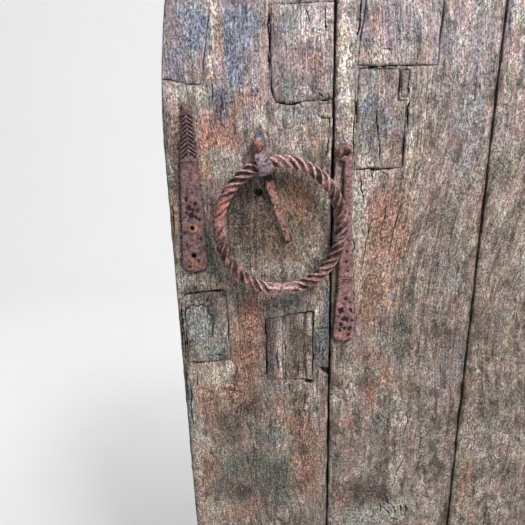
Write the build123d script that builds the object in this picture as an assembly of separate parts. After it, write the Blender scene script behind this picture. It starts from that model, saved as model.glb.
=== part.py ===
from build123d import *
import math
import os

# All sizes are in millimetres.
# The door is drawn from its closing edge (x = 0), its front face (y = 0) and its foot (z = 0),
# then moved so that the origin is on the hinge axis, at the underside of the lower hinge eye.

# The leaf
leaf_width = 910.0
leaf_thickness = 55.0
springing_height = 1190.0
arch_radius = 910.0
plank_gap = 3.0
closing_plank_width = 200.0
second_plank_width = 184.0
middle_plank_width = 172.0
fourth_plank_width = 166.0
closing_edge_wear = 7.0
plank_edge_wear = 2.0

# Loose tongues between the planks
tongue_thickness = 10.0
tongue_depth = 16.0
tongue_clearance = 0.4
tongue_end_margin = 25.0

# Ledges across the back
ledge_height = 140.0
ledge_thickness = 38.0
ledge_bevel = 8.0
ledge_edge_margin = 14.0
bottom_ledge_centre = 200.0
middle_ledge_centre = 660.0
upper_ledge_centre = 1120.0
top_ledge_below_apex = 418.0

# Strap hinges on the bottom and upper ledges
pintle_radius = 8.0
pintle_clearance = 0.25
hinge_strap_thickness = 6.0
hinge_strap_width = 45.0
hinge_strap_length = 640.0
hinge_tip_width = 26.0
hinge_setout = 18.0
hinge_seam = 1.2
nail_shares = (0.35, 0.65)

# Hand-made nails
driven_clearance = 0.1
nail_head_taper = 0.72
ledge_nail_shank = 5.0
ledge_nail_length = 68.0
ledge_nail_head_radius = 7.0
ledge_nail_head_height = 3.0
ledge_nail_spread = 46.0
hinge_nail_length = 70.0
plate_nail_shank = 3.4
plate_nail_length = 24.0
plate_nail_head_radius = 3.6
chevron_nail_head_height = 2.4
curled_nail_head_height = 1.2
strap_nail_shank = 5.0
strap_nail_length = 40.0
strap_nail_head_radius = 6.2
strap_nail_head_height = 4.5

# Let-in repair pieces of wood
patch_depth = 12.0
patch_joint = 1.2

# Pull ring, forged from a twisted square bar
ring_from_closing_edge = 136.5
ring_height = 1101.0
ring_half_width = 74.3
ring_half_height = 77.6
ring_bar = 12.0
ring_quarter_twists = 38
ring_plain_stretch = 26.0
ring_eye_angle = 104.0
ring_clearance = 0.9
ring_steps = 152

# Strap that keeps the ring, with its back plate
strap_thickness = 3.5
strap_width = 16.0
strap_tab_length = 19.0
strap_bend = 3.0
strap_tongue_width = 11.0
strap_tongue_length = 97.0
strap_tip_width = 6.0
strap_tip_drive = 10.0
strap_tip_drift = 3.5
strap_tip_clearance = 0.8
strap_foot_clearance = 0.3
back_plate_thickness = 3.0
back_plate_outline = [(9, 45), (5, 40), (-9, 22), (-24, 3), (-18, -11), (0, -15), (10, -6), (10, 7), (10, 34)]

# Plates nailed beside the ring
chevron_plate_width = 32.0
chevron_plate_length = 199.0
chevron_plate_setback = 28.0
chevron_plate_drop = 55.0
chevron_plate_thickness = 4.2
chevron_cut_length = 20.0
chevron_cut_slope = 38.0
chevron_first_cut = 11.0
lost_nail_radius = 3.0
chevron_cut_depth = 1.4
chevron_cut_width = 2.0
chevron_pitch = 4.7
chevron_count = 10
plate_edge_wear = 0.8
eyelet_radius = 6.5
eyelet_bore_radius = 2.5
eyelet_shank_radius = 4.0
eyelet_height = 2.6
eyelet_depth = 18.0
curled_plate_width = 28.0
curled_plate_length = 235.0
curled_plate_setback = 16.0
curled_plate_drop = 157.0
curled_plate_thickness = 4.0
curl_radius = 9.5
curl_hole_radius = 3.2
curl_seam = 1.8
curl_seam_turn = 48.0
curl_hole_offset = 1.5
first_hatch = 89.0
hatch_pitch = 3.0
hatch_count = 6
hatch_depth = 0.9

# Places that follow from the sizes above
plank_widths = [closing_plank_width, second_plank_width, middle_plank_width, fourth_plank_width]
plank_widths.append(leaf_width - sum(plank_widths) - len(plank_widths) * plank_gap)
plank_names = ["closing_plank", "second_plank", "middle_plank", "fourth_plank", "hanging_plank"]
plank_lefts = [sum(plank_widths[:i]) + i * plank_gap for i in range(len(plank_widths))]
plank_rights = [left + width for left, width in zip(plank_lefts, plank_widths)]
hinge_bore_radius = pintle_radius + pintle_clearance
hinge_eye_radius = hinge_bore_radius + hinge_strap_thickness
hinge_axis_x = leaf_width + hinge_setout
hinge_axis_y = leaf_thickness + ledge_thickness + hinge_eye_radius
hinge_axis_z = bottom_ledge_centre - hinge_strap_width / 2
ring_bar_radius = ring_bar / math.sqrt(2)
ring_plane = max(back_plate_thickness, curled_plate_thickness) + ring_bar_radius + ring_clearance
eye_angle = math.radians(ring_eye_angle)
eye_x = ring_from_closing_edge + ring_half_width * math.cos(eye_angle)
eye_z = ring_height + ring_half_height * math.sin(eye_angle)
eye_slope = math.atan2(-ring_half_height * math.cos(eye_angle), ring_half_width * math.sin(eye_angle))
loop_radius = ring_bar_radius + ring_clearance + strap_thickness / 2


def arch_height(x):
    """Height of the leaf's top edge above its foot, at a distance x from the closing edge."""
    across = arch_radius - min(x, leaf_width - x)
    return springing_height + math.sqrt(arch_radius**2 - across**2)


def closing_edge(height):
    """How far the leaf's closing edge has curved in at a height above the ring's centre."""
    rise = max(0.0, ring_height + height - springing_height)
    return arch_radius - math.sqrt(arch_radius**2 - rise**2)


def front_face(points, wider=0.0):
    """Flat face on the front plane from points (x, z), widened all round if asked."""
    face = make_face(Polyline(points, close=True))
    if wider:
        face = offset(face, wider, kind=Kind.INTERSECTION)
    return Plane.XZ * face


def front_prism(points, depth, start, at=(0.0, 0.0), wider=0.0):
    """Prism from points (x, z) drawn from the place at, from y = start backwards by depth."""
    return Pos(at[0], start, at[1]) * extrude(front_face(points, wider), amount=-depth)


def upright_block(left, right, front, back, bottom, top):
    """Plain block between six planes."""
    size = (right - left, back - front, top - bottom)
    return Pos(left, front, bottom) * Box(*size, align=(Align.MIN, Align.MIN, Align.MIN))


def leaf_prism():
    """The whole leaf in one piece: straight sides up to the springing, then a pointed arch."""
    apex = (leaf_width / 2, arch_height(leaf_width / 2))
    half_turn = math.acos(1 - leaf_width / 2 / arch_radius) / 2
    rise = arch_radius * math.sin(half_turn)
    run = arch_radius * (1 - math.cos(half_turn))
    foot = Polyline(
        (0, springing_height), (0, 0), (leaf_width, 0), (leaf_width, springing_height)
    )
    hanging_arc = ThreePointArc(
        (leaf_width, springing_height), (leaf_width - run, springing_height + rise), apex
    )
    closing_arc = ThreePointArc(apex, (run, springing_height + rise), (0, springing_height))
    outline = Plane.XZ * make_face(foot + hanging_arc + closing_arc)
    return extrude(outline, amount=-leaf_thickness)


def tongue_top(i):
    """Top end of the loose tongue between plank i and the next, below the arch."""
    left = plank_rights[i] - tongue_depth
    right = plank_lefts[i + 1] + tongue_depth
    return min(arch_height(left), arch_height(right)) - tongue_end_margin


def loose_tongue(i, clearance=0.0):
    """Thin strip of wood in the grooves of two planks, or its groove with a clearance."""
    middle = leaf_thickness / 2
    half = tongue_thickness / 2 + clearance
    left = plank_rights[i] - tongue_depth - clearance
    right = plank_lefts[i + 1] + tongue_depth + clearance
    return upright_block(left, right, middle - half, middle + half, 0, tongue_top(i) + clearance)


def worn_arris(x):
    """Long three-sided strip that is taken off a plank's front corner."""
    side = plank_edge_wear * math.sqrt(2)
    height = arch_height(leaf_width / 2)
    return Pos(x, 0, height / 2) * Rot(0, 0, 45) * Box(side, side, height * 1.01)


def plank_blank(i):
    """One plank cut to the arch, with worn front edges and grooves for its tongues."""
    slab = upright_block(
        plank_lefts[i], plank_rights[i], 0, leaf_thickness, 0, arch_height(leaf_width / 2)
    )
    plank = leaf_prism() & slab
    if i == 0:
        front = plank.edges().filter_by(lambda e: abs(e.center().Y) < 0.01 and e.center().Z > 1)
        closing = front.filter_by(lambda e: e.center().X < plank_rights[0] / 2)
        plank = fillet(closing, closing_edge_wear)
    else:
        plank -= worn_arris(plank_lefts[i])
    plank -= worn_arris(plank_rights[i])
    if i > 0:
        plank -= loose_tongue(i - 1, tongue_clearance)
    if i < len(plank_widths) - 1:
        plank -= loose_tongue(i, tongue_clearance)
    return plank


def square_nail(x, z, face, head_radius, head_height, shank, length, from_back=False):
    """Square-shanked nail at (x, z), its head on the plane y = face."""
    way = -1 if from_back else 1
    point = Pos(0, way * length / 2, 0) * Box(shank, length, shank)
    head = Cone(head_radius, head_radius * nail_head_taper, head_height)
    lying = Pos(0, -way * head_height / 2, 0) * Rot(way * 90, 0, 0) * head
    return Pos(x, face, z) * (point + lying)


def nail_hole(x, z, start, end, shank):
    """Square hole for a nail's shank, from y = start to y = end."""
    half = shank / 2 + driven_clearance
    return upright_block(x - half, x + half, start, end, z - half, z + half)


def repair_outlines():
    """Each repair piece: its plank, the x that its outline is drawn from, and the outline.

    Heights are above or below the ring's centre, and x is from the closing edge or the gap's edge.
    """
    gap = plank_rights[0]
    over = patch_joint
    left = plank_lefts[1]
    return {
        "top_left_patch": (
            0,
            0,
            [(closing_edge(height) + width, height) for width, height in (
                (-9, 173), (11, 171), (31, 165), (46, 165), (49, 190), (50, 248), (44, 351), (-9, 355)
            )],
        ),
        "top_centre_patch": (
            0,
            gap,
            [(-66, 144), (-35, 143), (over, 146), (over, 244), (-71, 243), (-70, 161)],
        ),
        "edge_block": (0, gap, [(-16, 126), (over, 125), (over, 141), (-16, 140)]),
        "lower_left_patch": (
            0,
            0,
            [(9, -185), (38, -183), (66, -181), (65, -85), (60, -82), (34, -85), (11, -87)],
        ),
        "lower_centre_strip_left": (
            0,
            gap,
            [(-84, -215), (-62, -215), (-62, -121), (-84, -125)],
        ),
        "lower_centre_strip_middle": (
            0,
            gap,
            [(-59, -215), (-34, -214), (-33, -117), (-59, -120)],
        ),
        "lower_centre_strip_right": (
            0,
            gap,
            [(-31, -214), (-22, -213), (-22, -116), (-31, -117)],
        ),
        "lower_side_block": (0, gap, [(-19, -198), (over, -198), (over, -140), (-19, -141)]),
        "right_upper_patch": (
            1,
            left,
            [(24, 180), (45, 179), (115, 178), (117, 299), (35, 301), (32, 244), (27, 205)],
        ),
        "right_patch": (
            1,
            left,
            [(24, 66), (82, 66), (82, 142), (73, 142), (72, 175), (26, 177)],
        ),
        "right_sliver": (1, left, [(76, 145), (83, 145), (83, 174), (75, 174)]),
    }


def broken_outlines():
    """Places beside the lower repairs where wood has broken out, drawn in the same way."""
    over = patch_joint
    return [
        (0, plank_rights[0], [(-9, -199), (-5, -207), (over, -208), (over, -199)]),
        (0, plank_rights[0], [(-33, -219), (-24, -222), (-21, -217), (-30, -215)]),
    ]


# Iron on the front: each plate is drawn from the middle of its foot, in shares of its size
chevron_foot = (chevron_plate_setback, ring_height - chevron_plate_drop)
curled_foot = (plank_lefts[1] + curled_plate_setback, ring_height - curled_plate_drop)


def on_chevron_plate(across, up):
    """Place on the chevron plate, in shares of its width and length from its foot."""
    return chevron_foot[0] + across * chevron_plate_width, chevron_foot[1] + up * chevron_plate_length


def on_curled_plate(across, up):
    """Place on the curled plate, in shares of its width and length from its foot."""
    return curled_foot[0] + across * curled_plate_width, curled_foot[1] + up * curled_plate_length


chevron_nails = [on_chevron_plate(0.09, 0.975), on_chevron_plate(-0.125, 0.186)]
eyelet_place = on_chevron_plate(0.03, 0.281)
lost_nail_place = on_chevron_plate(0.0, 0.106)
curled_nails = [on_curled_plate(-0.02, 0.928), on_curled_plate(0.05, 0.208)]
curl_centre = on_curled_plate(-0.143, 1.03)
strap_nail_place = (
    eye_x - (loop_radius + strap_tab_length / 2) * math.sin(eye_slope),
    eye_z + (loop_radius + strap_tab_length / 2) * math.cos(eye_slope),
)


def round_hole(place, radius):
    """Round cutter through the iron and the front of the wood."""
    return Pos(place[0], 0, place[1]) * Rot(90, 0, 0) * Cylinder(radius, 2 * eyelet_depth)


def chevron_plate():
    """Long forged plate near the closing edge, with a ladder of chisel cuts at its top."""
    outline = [
        (-0.06, 1), (-0.09, 0.9), (-0.16, 0.8), (-0.25, 0.68), (-0.33, 0.53), (-0.38, 0.3),
        (-0.44, 0.14), (-0.5, 0.06), (-0.38, 0.015), (0, 0), (0.38, 0.015), (0.5, 0.06),
        (0.47, 0.3), (0.44, 0.49), (0.38, 0.6), (0.34, 0.73), (0.31, 0.86), (0.28, 0.95), (0.25, 1),
    ]
    thickness = chevron_plate_thickness
    plate = front_prism([on_chevron_plate(*share) for share in outline], thickness, -thickness)
    plate = chamfer(plate.faces().sort_by(Axis.Y)[0].edges(), plate_edge_wear)
    cut = Box(chevron_cut_length, 2 * chevron_cut_depth, chevron_cut_width)
    for i in range(chevron_count):
        height = chevron_foot[1] + chevron_plate_length - chevron_first_cut - i * chevron_pitch
        for side in (-1, 1):
            leg = Rot(0, side * chevron_cut_slope, 0) * Pos(side * chevron_cut_length / 2, 0, 0)
            plate -= Pos(chevron_nails[0][0], -thickness, height) * leg * cut
    plate -= round_hole(eyelet_place, eyelet_shank_radius + driven_clearance)
    plate -= round_hole(lost_nail_place, lost_nail_radius)
    for x, z in chevron_nails:
        plate -= nail_hole(x, z, -leaf_thickness, 1, plate_nail_shank)
    return plate


def chevron_plate_nails():
    """The two nails left in the chevron plate."""
    nails = [
        square_nail(
            x, z, -chevron_plate_thickness, plate_nail_head_radius, chevron_nail_head_height,
            plate_nail_shank, plate_nail_length,
        )
        for x, z in chevron_nails
    ]
    return Compound(nails)


def plate_eyelet():
    """Hollow rivet with a raised rim, through the chevron plate into the wood."""
    x, z = eyelet_place
    rim = Pos(0, -chevron_plate_thickness - eyelet_height / 2, 0) * Rot(90, 0, 0)
    body = rim * Cylinder(eyelet_radius, eyelet_height)
    shank = Pos(0, (eyelet_depth - chevron_plate_thickness) / 2, 0) * Rot(90, 0, 0)
    body += shank * Cylinder(eyelet_shank_radius, eyelet_depth + chevron_plate_thickness)
    bore = Rot(90, 0, 0) * Cylinder(eyelet_bore_radius, 3 * leaf_thickness)
    return Pos(x, 0, z) * (body - bore)


def curled_plate():
    """Narrow forged plate beside the gap, with its top drawn out and curled into an eye."""
    outline = [
        (-0.14, 0.995), (-0.18, 0.95), (-0.16, 0.81), (-0.23, 0.6), (-0.32, 0.43),
        (-0.36, 0.3), (-0.45, 0.15), (-0.5, 0.034), (-0.29, 0.004), (0, 0), (0.32, 0.009), (0.5, 0.038), (0.46, 0.15),
        (0.375, 0.38), (0.23, 0.57), (0.16, 0.81), (0.18, 1.025), (0.05, 1.015),
    ]
    thickness = curled_plate_thickness
    plate = front_prism([on_curled_plate(*share) for share in outline], thickness, -thickness)
    curl = Pos(curl_centre[0], -thickness / 2, curl_centre[1])
    plate += curl * Rot(90, 0, 0) * Cylinder(curl_radius, thickness)
    eye = curl * Pos(curl_hole_offset, 0, 0) * Rot(90, 0, 0)
    plate -= eye * Cylinder(curl_hole_radius, 2 * thickness)
    seam = Pos(0, 0, -curl_radius / 2 - curl_hole_offset) * Box(curl_seam, 2 * thickness, curl_radius)
    plate -= curl * Rot(0, curl_seam_turn, 0) * seam
    groove = Box(4 * curl_radius, 2 * hatch_depth, hatch_depth)
    for i in range(hatch_count):
        height = curled_foot[1] + first_hatch - i * hatch_pitch
        plate -= Pos(curled_foot[0], -thickness, height) * groove
    for x, z in curled_nails:
        plate -= nail_hole(x, z, -leaf_thickness, 1, plate_nail_shank)
    return plate


def curled_plate_nails():
    """The two flat-headed nails of the curled plate."""
    nails = [
        square_nail(
            x, z, -curled_plate_thickness, plate_nail_head_radius, curled_nail_head_height,
            plate_nail_shank, plate_nail_length,
        )
        for x, z in curled_nails
    ]
    return Compound(nails)


def ring_twist(turn):
    """Twist of the bar in degrees at a share of the way round, with one plain stretch below."""
    middle = 0.75
    half = ring_plain_stretch / 360 / 2
    done = max(0.0, min(turn, middle - half)) + max(0.0, turn - middle - half)
    return ring_quarter_twists * 90 * done / (1 - 2 * half)


def ring_section(step):
    """Square section of the twisted bar at one of the steps round the ring."""
    turn = step / ring_steps
    angle = 2 * math.pi * turn
    middle = Vector(ring_half_width * math.cos(angle), 0, ring_half_height * math.sin(angle))
    along = Vector(-ring_half_width * math.sin(angle), 0, ring_half_height * math.cos(angle))
    out = along.normalized().cross(Vector(0, 1, 0))
    corners = []
    for corner in range(4):
        spin = math.radians(ring_twist(turn) + 45 + 90 * corner)
        lift = Vector(0, ring_bar_radius * math.sin(spin), 0)
        corners.append(middle + out * (ring_bar_radius * math.cos(spin)) + lift)
    return Wire.make_polygon(corners, close=True)


def pull_ring():
    """Ring bent from a square bar that was twisted first."""
    half = ring_steps // 2
    first = Solid.make_loft([ring_section(i) for i in range(half + 1)], ruled=True)
    second = Solid.make_loft([ring_section(i) for i in range(half, ring_steps + 1)], ruled=True)
    return Pos(ring_from_closing_edge, -ring_plane, ring_height) * (first + second)


def strap_place():
    """Place on the front face at the ring's eye: local x across the strap, z up along it."""
    return Pos(eye_x, 0, eye_z) * Rot(0, -math.degrees(eye_slope), 0)


def ring_strap():
    """Iron strip nailed above the ring, bent over its bar and driven into the wood below."""
    on_plate = back_plate_thickness + strap_thickness / 2
    top = ring_plane + loop_radius
    low = back_plate_thickness + strap_foot_clearance + strap_thickness / 2
    rest = strap_thickness / 2 + 0.4
    path = FilletPolyline(
        (loop_radius + strap_tab_length, on_plate),
        (loop_radius, on_plate),
        (loop_radius, top),
        (-loop_radius, top),
        (-loop_radius, low),
        (-strap_tongue_length, rest),
        (-strap_tongue_length, -strap_tip_drive),
        radius=[strap_bend, loop_radius * 0.98, loop_radius * 0.98, strap_bend, strap_bend],
    )
    profile = trace(path, strap_thickness)
    side = Plane(origin=(0, 0, 0), x_dir=(0, 0, 1), z_dir=(1, 0, 0))
    ribbon = extrude(side * profile, amount=strap_width / 2, both=True)
    half = strap_width / 2
    slim = strap_tongue_width / 2
    end = -strap_tongue_length - strap_thickness
    plan = [
        (-half * 0.9, loop_radius + strap_tab_length + 1), (half * 0.9, loop_radius + strap_tab_length + 1),
        (half, 0), (half, -loop_radius), (slim, -loop_radius - 9), (slim + strap_tip_drift / 2, end / 2),
        (strap_tip_drift + strap_tip_width / 2, end * 0.93), (strap_tip_drift + strap_tip_width / 2, end),
        (strap_tip_drift - strap_tip_width / 2, end), (strap_tip_drift - strap_tip_width / 2, end * 0.93),
        (-slim + strap_tip_drift / 2, end / 2), (-slim, -loop_radius - 9), (-half, -loop_radius), (-half, 0),
    ]
    shape = front_prism(plan, 2 * top + leaf_thickness, -2 * top)
    strap = strap_place() * (ribbon & shape)
    x, z = strap_nail_place
    return strap - nail_hole(x, z, -leaf_thickness, 1, strap_nail_shank)


def strap_tip_hole():
    """Slot in the wood that the strap's point is driven into."""
    wide = strap_tip_width / 2 + strap_tip_clearance
    thick = strap_thickness / 2 + strap_tip_clearance
    slot = upright_block(
        strap_tip_drift - wide, strap_tip_drift + wide, -1, strap_tip_drive + driven_clearance,
        -strap_tongue_length - thick, -strap_tongue_length + thick,
    )
    return strap_place() * slot


def ring_back_plate():
    """Pointed plate under the strap, against which the ring's bar lies."""
    plate = front_prism(back_plate_outline, back_plate_thickness, -back_plate_thickness)
    plate = strap_place() * plate
    x, z = strap_nail_place
    return plate - nail_hole(x, z, -leaf_thickness, 1, strap_nail_shank)


def ring_strap_nail():
    """Large-headed nail through the strap and its back plate."""
    x, z = strap_nail_place
    face = -back_plate_thickness - strap_thickness
    return square_nail(
        x, z, face, strap_nail_head_radius, strap_nail_head_height, strap_nail_shank, strap_nail_length
    )


ledge_centres = {
    "bottom_ledge": bottom_ledge_centre,
    "middle_ledge": middle_ledge_centre,
    "upper_ledge": upper_ledge_centre,
    "top_ledge": arch_height(leaf_width / 2) - top_ledge_below_apex,
}
hinge_ledges = {"lower_hinge": bottom_ledge_centre, "upper_hinge": upper_ledge_centre}


def ledge_span(centre):
    """Left and right end of a ledge, short of both edges of the leaf at its top corners."""
    rise = max(0.0, centre + ledge_height / 2 - springing_height)
    inset = arch_radius - math.sqrt(arch_radius**2 - rise**2)
    return inset + ledge_edge_margin, leaf_width - inset - ledge_edge_margin


def ledge_nail_places(centre):
    """Two nails in each plank that the ledge crosses, clear of the loose tongues."""
    left, right = ledge_span(centre)
    clear = tongue_depth + ledge_nail_shank
    places = []
    for plank_left, plank_right in zip(plank_lefts, plank_rights):
        start = max(plank_left, left) + clear
        width = min(plank_right, right) - clear - start
        for share, side in zip(nail_shares, (-1, 1)):
            if width > 0:
                places.append((start + share * width, centre + side * ledge_nail_spread))
    return places


def hinge_nail_places(centre):
    """Nails along a hinge strap, two in each plank that its length reaches."""
    tip = hinge_axis_x - hinge_strap_length + 2 * hinge_tip_width
    places = [(left + share * width, centre) for left, width in zip(plank_lefts, plank_widths)
              for share in nail_shares]
    return [(x, z) for x, z in places if x > tip]


def ledge(centre):
    """Board across the back of the planks, with bevelled edges."""
    left, right = ledge_span(centre)
    back = leaf_thickness + ledge_thickness
    board = upright_block(
        left, right, leaf_thickness, back, centre - ledge_height / 2, centre + ledge_height / 2
    )
    board = chamfer(board.faces().sort_by(Axis.Y)[-1].edges(), ledge_bevel)
    for x, z in ledge_nail_places(centre):
        board -= nail_hole(x, z, leaf_thickness - 1, back + 1, ledge_nail_shank)
    if centre in hinge_ledges.values():
        for x, z in hinge_nail_places(centre):
            board -= nail_hole(x, z, leaf_thickness - 1, back + 1, ledge_nail_shank)
    return board


def ledge_nails(centre):
    """The nails of one ledge, driven from the back and ending inside the planks."""
    back = leaf_thickness + ledge_thickness
    nails = [
        square_nail(
            x, z, back, ledge_nail_head_radius, ledge_nail_head_height,
            ledge_nail_shank, ledge_nail_length, from_back=True,
        )
        for x, z in ledge_nail_places(centre)
    ]
    return Compound(nails)


def strap_hinge(centre):
    """Forged strap that narrows to its tip, rolled into an eye at the hanging edge."""
    front = leaf_thickness + ledge_thickness
    back = front + hinge_strap_thickness
    wide = hinge_strap_width / 2
    tip = hinge_tip_width / 2
    end = hinge_axis_x - hinge_strap_length
    points = [
        (hinge_axis_x, centre - wide), (hinge_axis_x, centre + wide),
        (end + tip, centre + tip), (end, centre), (end + tip, centre - tip),
    ]
    strap = front_prism(points, hinge_strap_thickness, front)
    eye = Pos(hinge_axis_x, hinge_axis_y, centre)
    strap += eye * Cylinder(hinge_eye_radius, hinge_strap_width)
    strap -= eye * Cylinder(hinge_bore_radius, 2 * hinge_strap_width)
    strap -= upright_block(
        hinge_axis_x - hinge_eye_radius - 1, hinge_axis_x - hinge_bore_radius * 0.6,
        back, back + hinge_seam, centre - hinge_strap_width, centre + hinge_strap_width,
    )
    for x, z in hinge_nail_places(centre):
        strap -= nail_hole(x, z, front - 1, back + 1, ledge_nail_shank)
    return strap


def strap_hinge_nails(centre):
    """The nails of one hinge strap, through the ledge and into the planks."""
    back = leaf_thickness + ledge_thickness + hinge_strap_thickness
    nails = [
        square_nail(
            x, z, back, ledge_nail_head_radius, ledge_nail_head_height,
            ledge_nail_shank, hinge_nail_length, from_back=True,
        )
        for x, z in hinge_nail_places(centre)
    ]
    return Compound(nails)


def holes_in_planks():
    """Every hole that a nail, the eyelet or the strap's point makes in the planks."""
    back = leaf_thickness + ledge_thickness
    holes = []
    for centre in ledge_centres.values():
        for x, z in ledge_nail_places(centre):
            holes.append(nail_hole(x, z, back - ledge_nail_length, leaf_thickness + 1, ledge_nail_shank))
    for centre in hinge_ledges.values():
        start = back + hinge_strap_thickness - hinge_nail_length
        for x, z in hinge_nail_places(centre):
            holes.append(nail_hole(x, z, start, leaf_thickness + 1, ledge_nail_shank))
    for x, z in chevron_nails:
        holes.append(nail_hole(x, z, -1, plate_nail_length - chevron_plate_thickness, plate_nail_shank))
    for x, z in curled_nails:
        holes.append(nail_hole(x, z, -1, plate_nail_length - curled_plate_thickness, plate_nail_shank))
    x, z = strap_nail_place
    reach = strap_nail_length - back_plate_thickness - strap_thickness
    holes.append(nail_hole(x, z, -1, reach, strap_nail_shank))
    holes.append(round_hole(eyelet_place, eyelet_shank_radius + driven_clearance))
    holes.append(round_hole(lost_nail_place, lost_nail_radius))
    holes.append(strap_tip_hole())
    return holes


def planks_and_repairs():
    """The planks with their pockets and holes, and the repair pieces cut from the same outlines."""
    holes = holes_in_planks()
    pieces = {}
    for i, name in enumerate(plank_names):
        blank = plank_blank(i)
        plank = blank
        for patch_name, (owner, x, outline) in repair_outlines().items():
            if owner == i:
                place = (x, ring_height)
                pieces[patch_name] = blank & front_prism(outline, patch_depth, 0, place)
                plank -= front_prism(outline, patch_depth, 0, place, patch_joint)
        for owner, x, outline in broken_outlines():
            if owner == i:
                plank -= front_prism(outline, patch_depth, 0, (x, ring_height))
        for hole in holes:
            if plank_lefts[i] < hole.center().X < plank_rights[i]:
                plank -= hole
        pieces[name] = plank
    return pieces


def build_door():
    """Every piece of the door by name, in the door's own frame."""
    pieces = planks_and_repairs()
    for i in range(len(plank_widths) - 1):
        pieces[f"loose_tongue_{i + 1}"] = loose_tongue(i)
    for name, centre in ledge_centres.items():
        pieces[name] = ledge(centre)
        pieces[name + "_nails"] = ledge_nails(centre)
    for name, centre in hinge_ledges.items():
        pieces[name] = strap_hinge(centre)
        pieces[name + "_nails"] = strap_hinge_nails(centre)
    pieces["chevron_plate"] = chevron_plate()
    pieces["chevron_plate_nails"] = chevron_plate_nails()
    pieces["plate_eyelet"] = plate_eyelet()
    pieces["curled_plate"] = curled_plate()
    pieces["curled_plate_nails"] = curled_plate_nails()
    pieces["ring_back_plate"] = ring_back_plate()
    pieces["ring_strap"] = ring_strap()
    pieces["ring_strap_nail"] = ring_strap_nail()
    pieces["pull_ring"] = pull_ring()
    return pieces


os.makedirs("parts", exist_ok=True)
to_hinge_axis = Pos(-hinge_axis_x, -hinge_axis_y, -hinge_axis_z)
for node, shape in build_door().items():
    export_step(to_hinge_axis * shape, f"parts/{node}.step")
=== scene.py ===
import math

import bpy
import numpy as np
from mathutils import Matrix, Vector
from mathutils.geometry import delaunay_2d_cdt
from mathutils.kdtree import KDTree


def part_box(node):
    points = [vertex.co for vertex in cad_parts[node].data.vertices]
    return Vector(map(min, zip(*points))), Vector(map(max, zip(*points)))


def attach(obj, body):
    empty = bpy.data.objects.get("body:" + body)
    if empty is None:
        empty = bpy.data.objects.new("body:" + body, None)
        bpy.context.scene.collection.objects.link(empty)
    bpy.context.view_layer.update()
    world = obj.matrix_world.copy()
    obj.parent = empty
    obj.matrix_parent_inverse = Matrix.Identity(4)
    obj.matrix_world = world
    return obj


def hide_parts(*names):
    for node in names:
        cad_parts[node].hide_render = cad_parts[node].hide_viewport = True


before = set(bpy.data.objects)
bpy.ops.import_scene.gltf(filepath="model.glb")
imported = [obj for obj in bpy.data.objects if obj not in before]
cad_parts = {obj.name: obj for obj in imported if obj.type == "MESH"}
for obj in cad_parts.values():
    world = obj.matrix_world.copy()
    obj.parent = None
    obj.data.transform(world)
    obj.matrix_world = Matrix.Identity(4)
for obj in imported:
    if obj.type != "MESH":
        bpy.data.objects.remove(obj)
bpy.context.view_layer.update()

# The five boards. Thick oak boards, sawn and hewn, stand side by side with a narrow open gap.
# Rain has rounded their long corners, raised the grain and opened cracks along it, and pockets
# are cut in the first two for the repair pieces. They are held by the ledges at the back.
mm = 0.001
closing_low, closing_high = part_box("closing_plank")
board_thickness = (closing_high.y - closing_low.y) / mm
gap_x = (closing_high.x - closing_low.x) / mm
handle_x, handle_height = 136.5, 1101.0
worked_right = gap_x + 135
fine_middle, fine_reach = handle_height - 80, 385
pocket_depth = 12.0


def on_door(x, depth, height):
    """Points in metres from millimetres across, into and up the door."""
    return np.column_stack([
        closing_low.x + np.asarray(x) * mm,
        closing_low.y + np.asarray(depth) * mm,
        closing_low.z + np.asarray(height) * mm,
    ])


def chance(column, row, seed):
    """Random value from 0 to 1 for each whole-number cell, the same on every run."""
    mixed = (column * 374761393 + row * 668265263 + seed * 974634777) & 0xFFFFFFFF
    mixed = ((mixed ^ (mixed >> 13)) * 1274126177) & 0xFFFFFFFF
    return ((mixed ^ (mixed >> 16)) & 0xFFFF) / 65535.0


def lumps(x, height, wide, tall, seed):
    """Smooth random field from -1 to 1, with lumps of one width and height."""
    across, up = np.asarray(x, float) / wide, np.asarray(height, float) / tall
    column, row = np.floor(across).astype(np.int64), np.floor(up).astype(np.int64)
    across, up = across - column, up - row
    across, up = across * across * (3 - 2 * across), up * up * (3 - 2 * up)
    low = chance(column, row, seed) * (1 - across) + chance(column + 1, row, seed) * across
    high = chance(column, row + 1, seed) * (1 - across) + chance(column + 1, row + 1, seed) * across
    return (low * (1 - up) + high * up) * 2 - 1


def weathering(x, height, wide, tall, seed, layers=3):
    """Several fields of lumps, each half the size and half the strength of the one before."""
    total = np.zeros(np.shape(x))
    for layer in range(layers):
        share = 0.5 ** layer
        total = total + share * lumps(x, height, wide * share, tall * share, seed + 17 * layer)
    return total


def chained(after):
    """Closed rings of points, from a dictionary that holds each point's follower."""
    rings, left = [], dict(after)
    while left:
        start = next(iter(left))
        ring, following = [start], left.pop(start)
        while following != start and following in left:
            ring.append(following)
            following = left.pop(following)
        rings.append(ring)
    return rings


def wound_area(loop):
    """Twice a loop's area, above 0 where its inside lies on the left."""
    after = np.roll(loop, -1, axis=0)
    return np.sum(loop[:, 0] * after[:, 1] - after[:, 0] * loop[:, 1])


def leftwards(loop):
    """The loop with its points in the order that keeps its inside on the left."""
    return loop if wound_area(loop) > 0 else loop[::-1]


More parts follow.
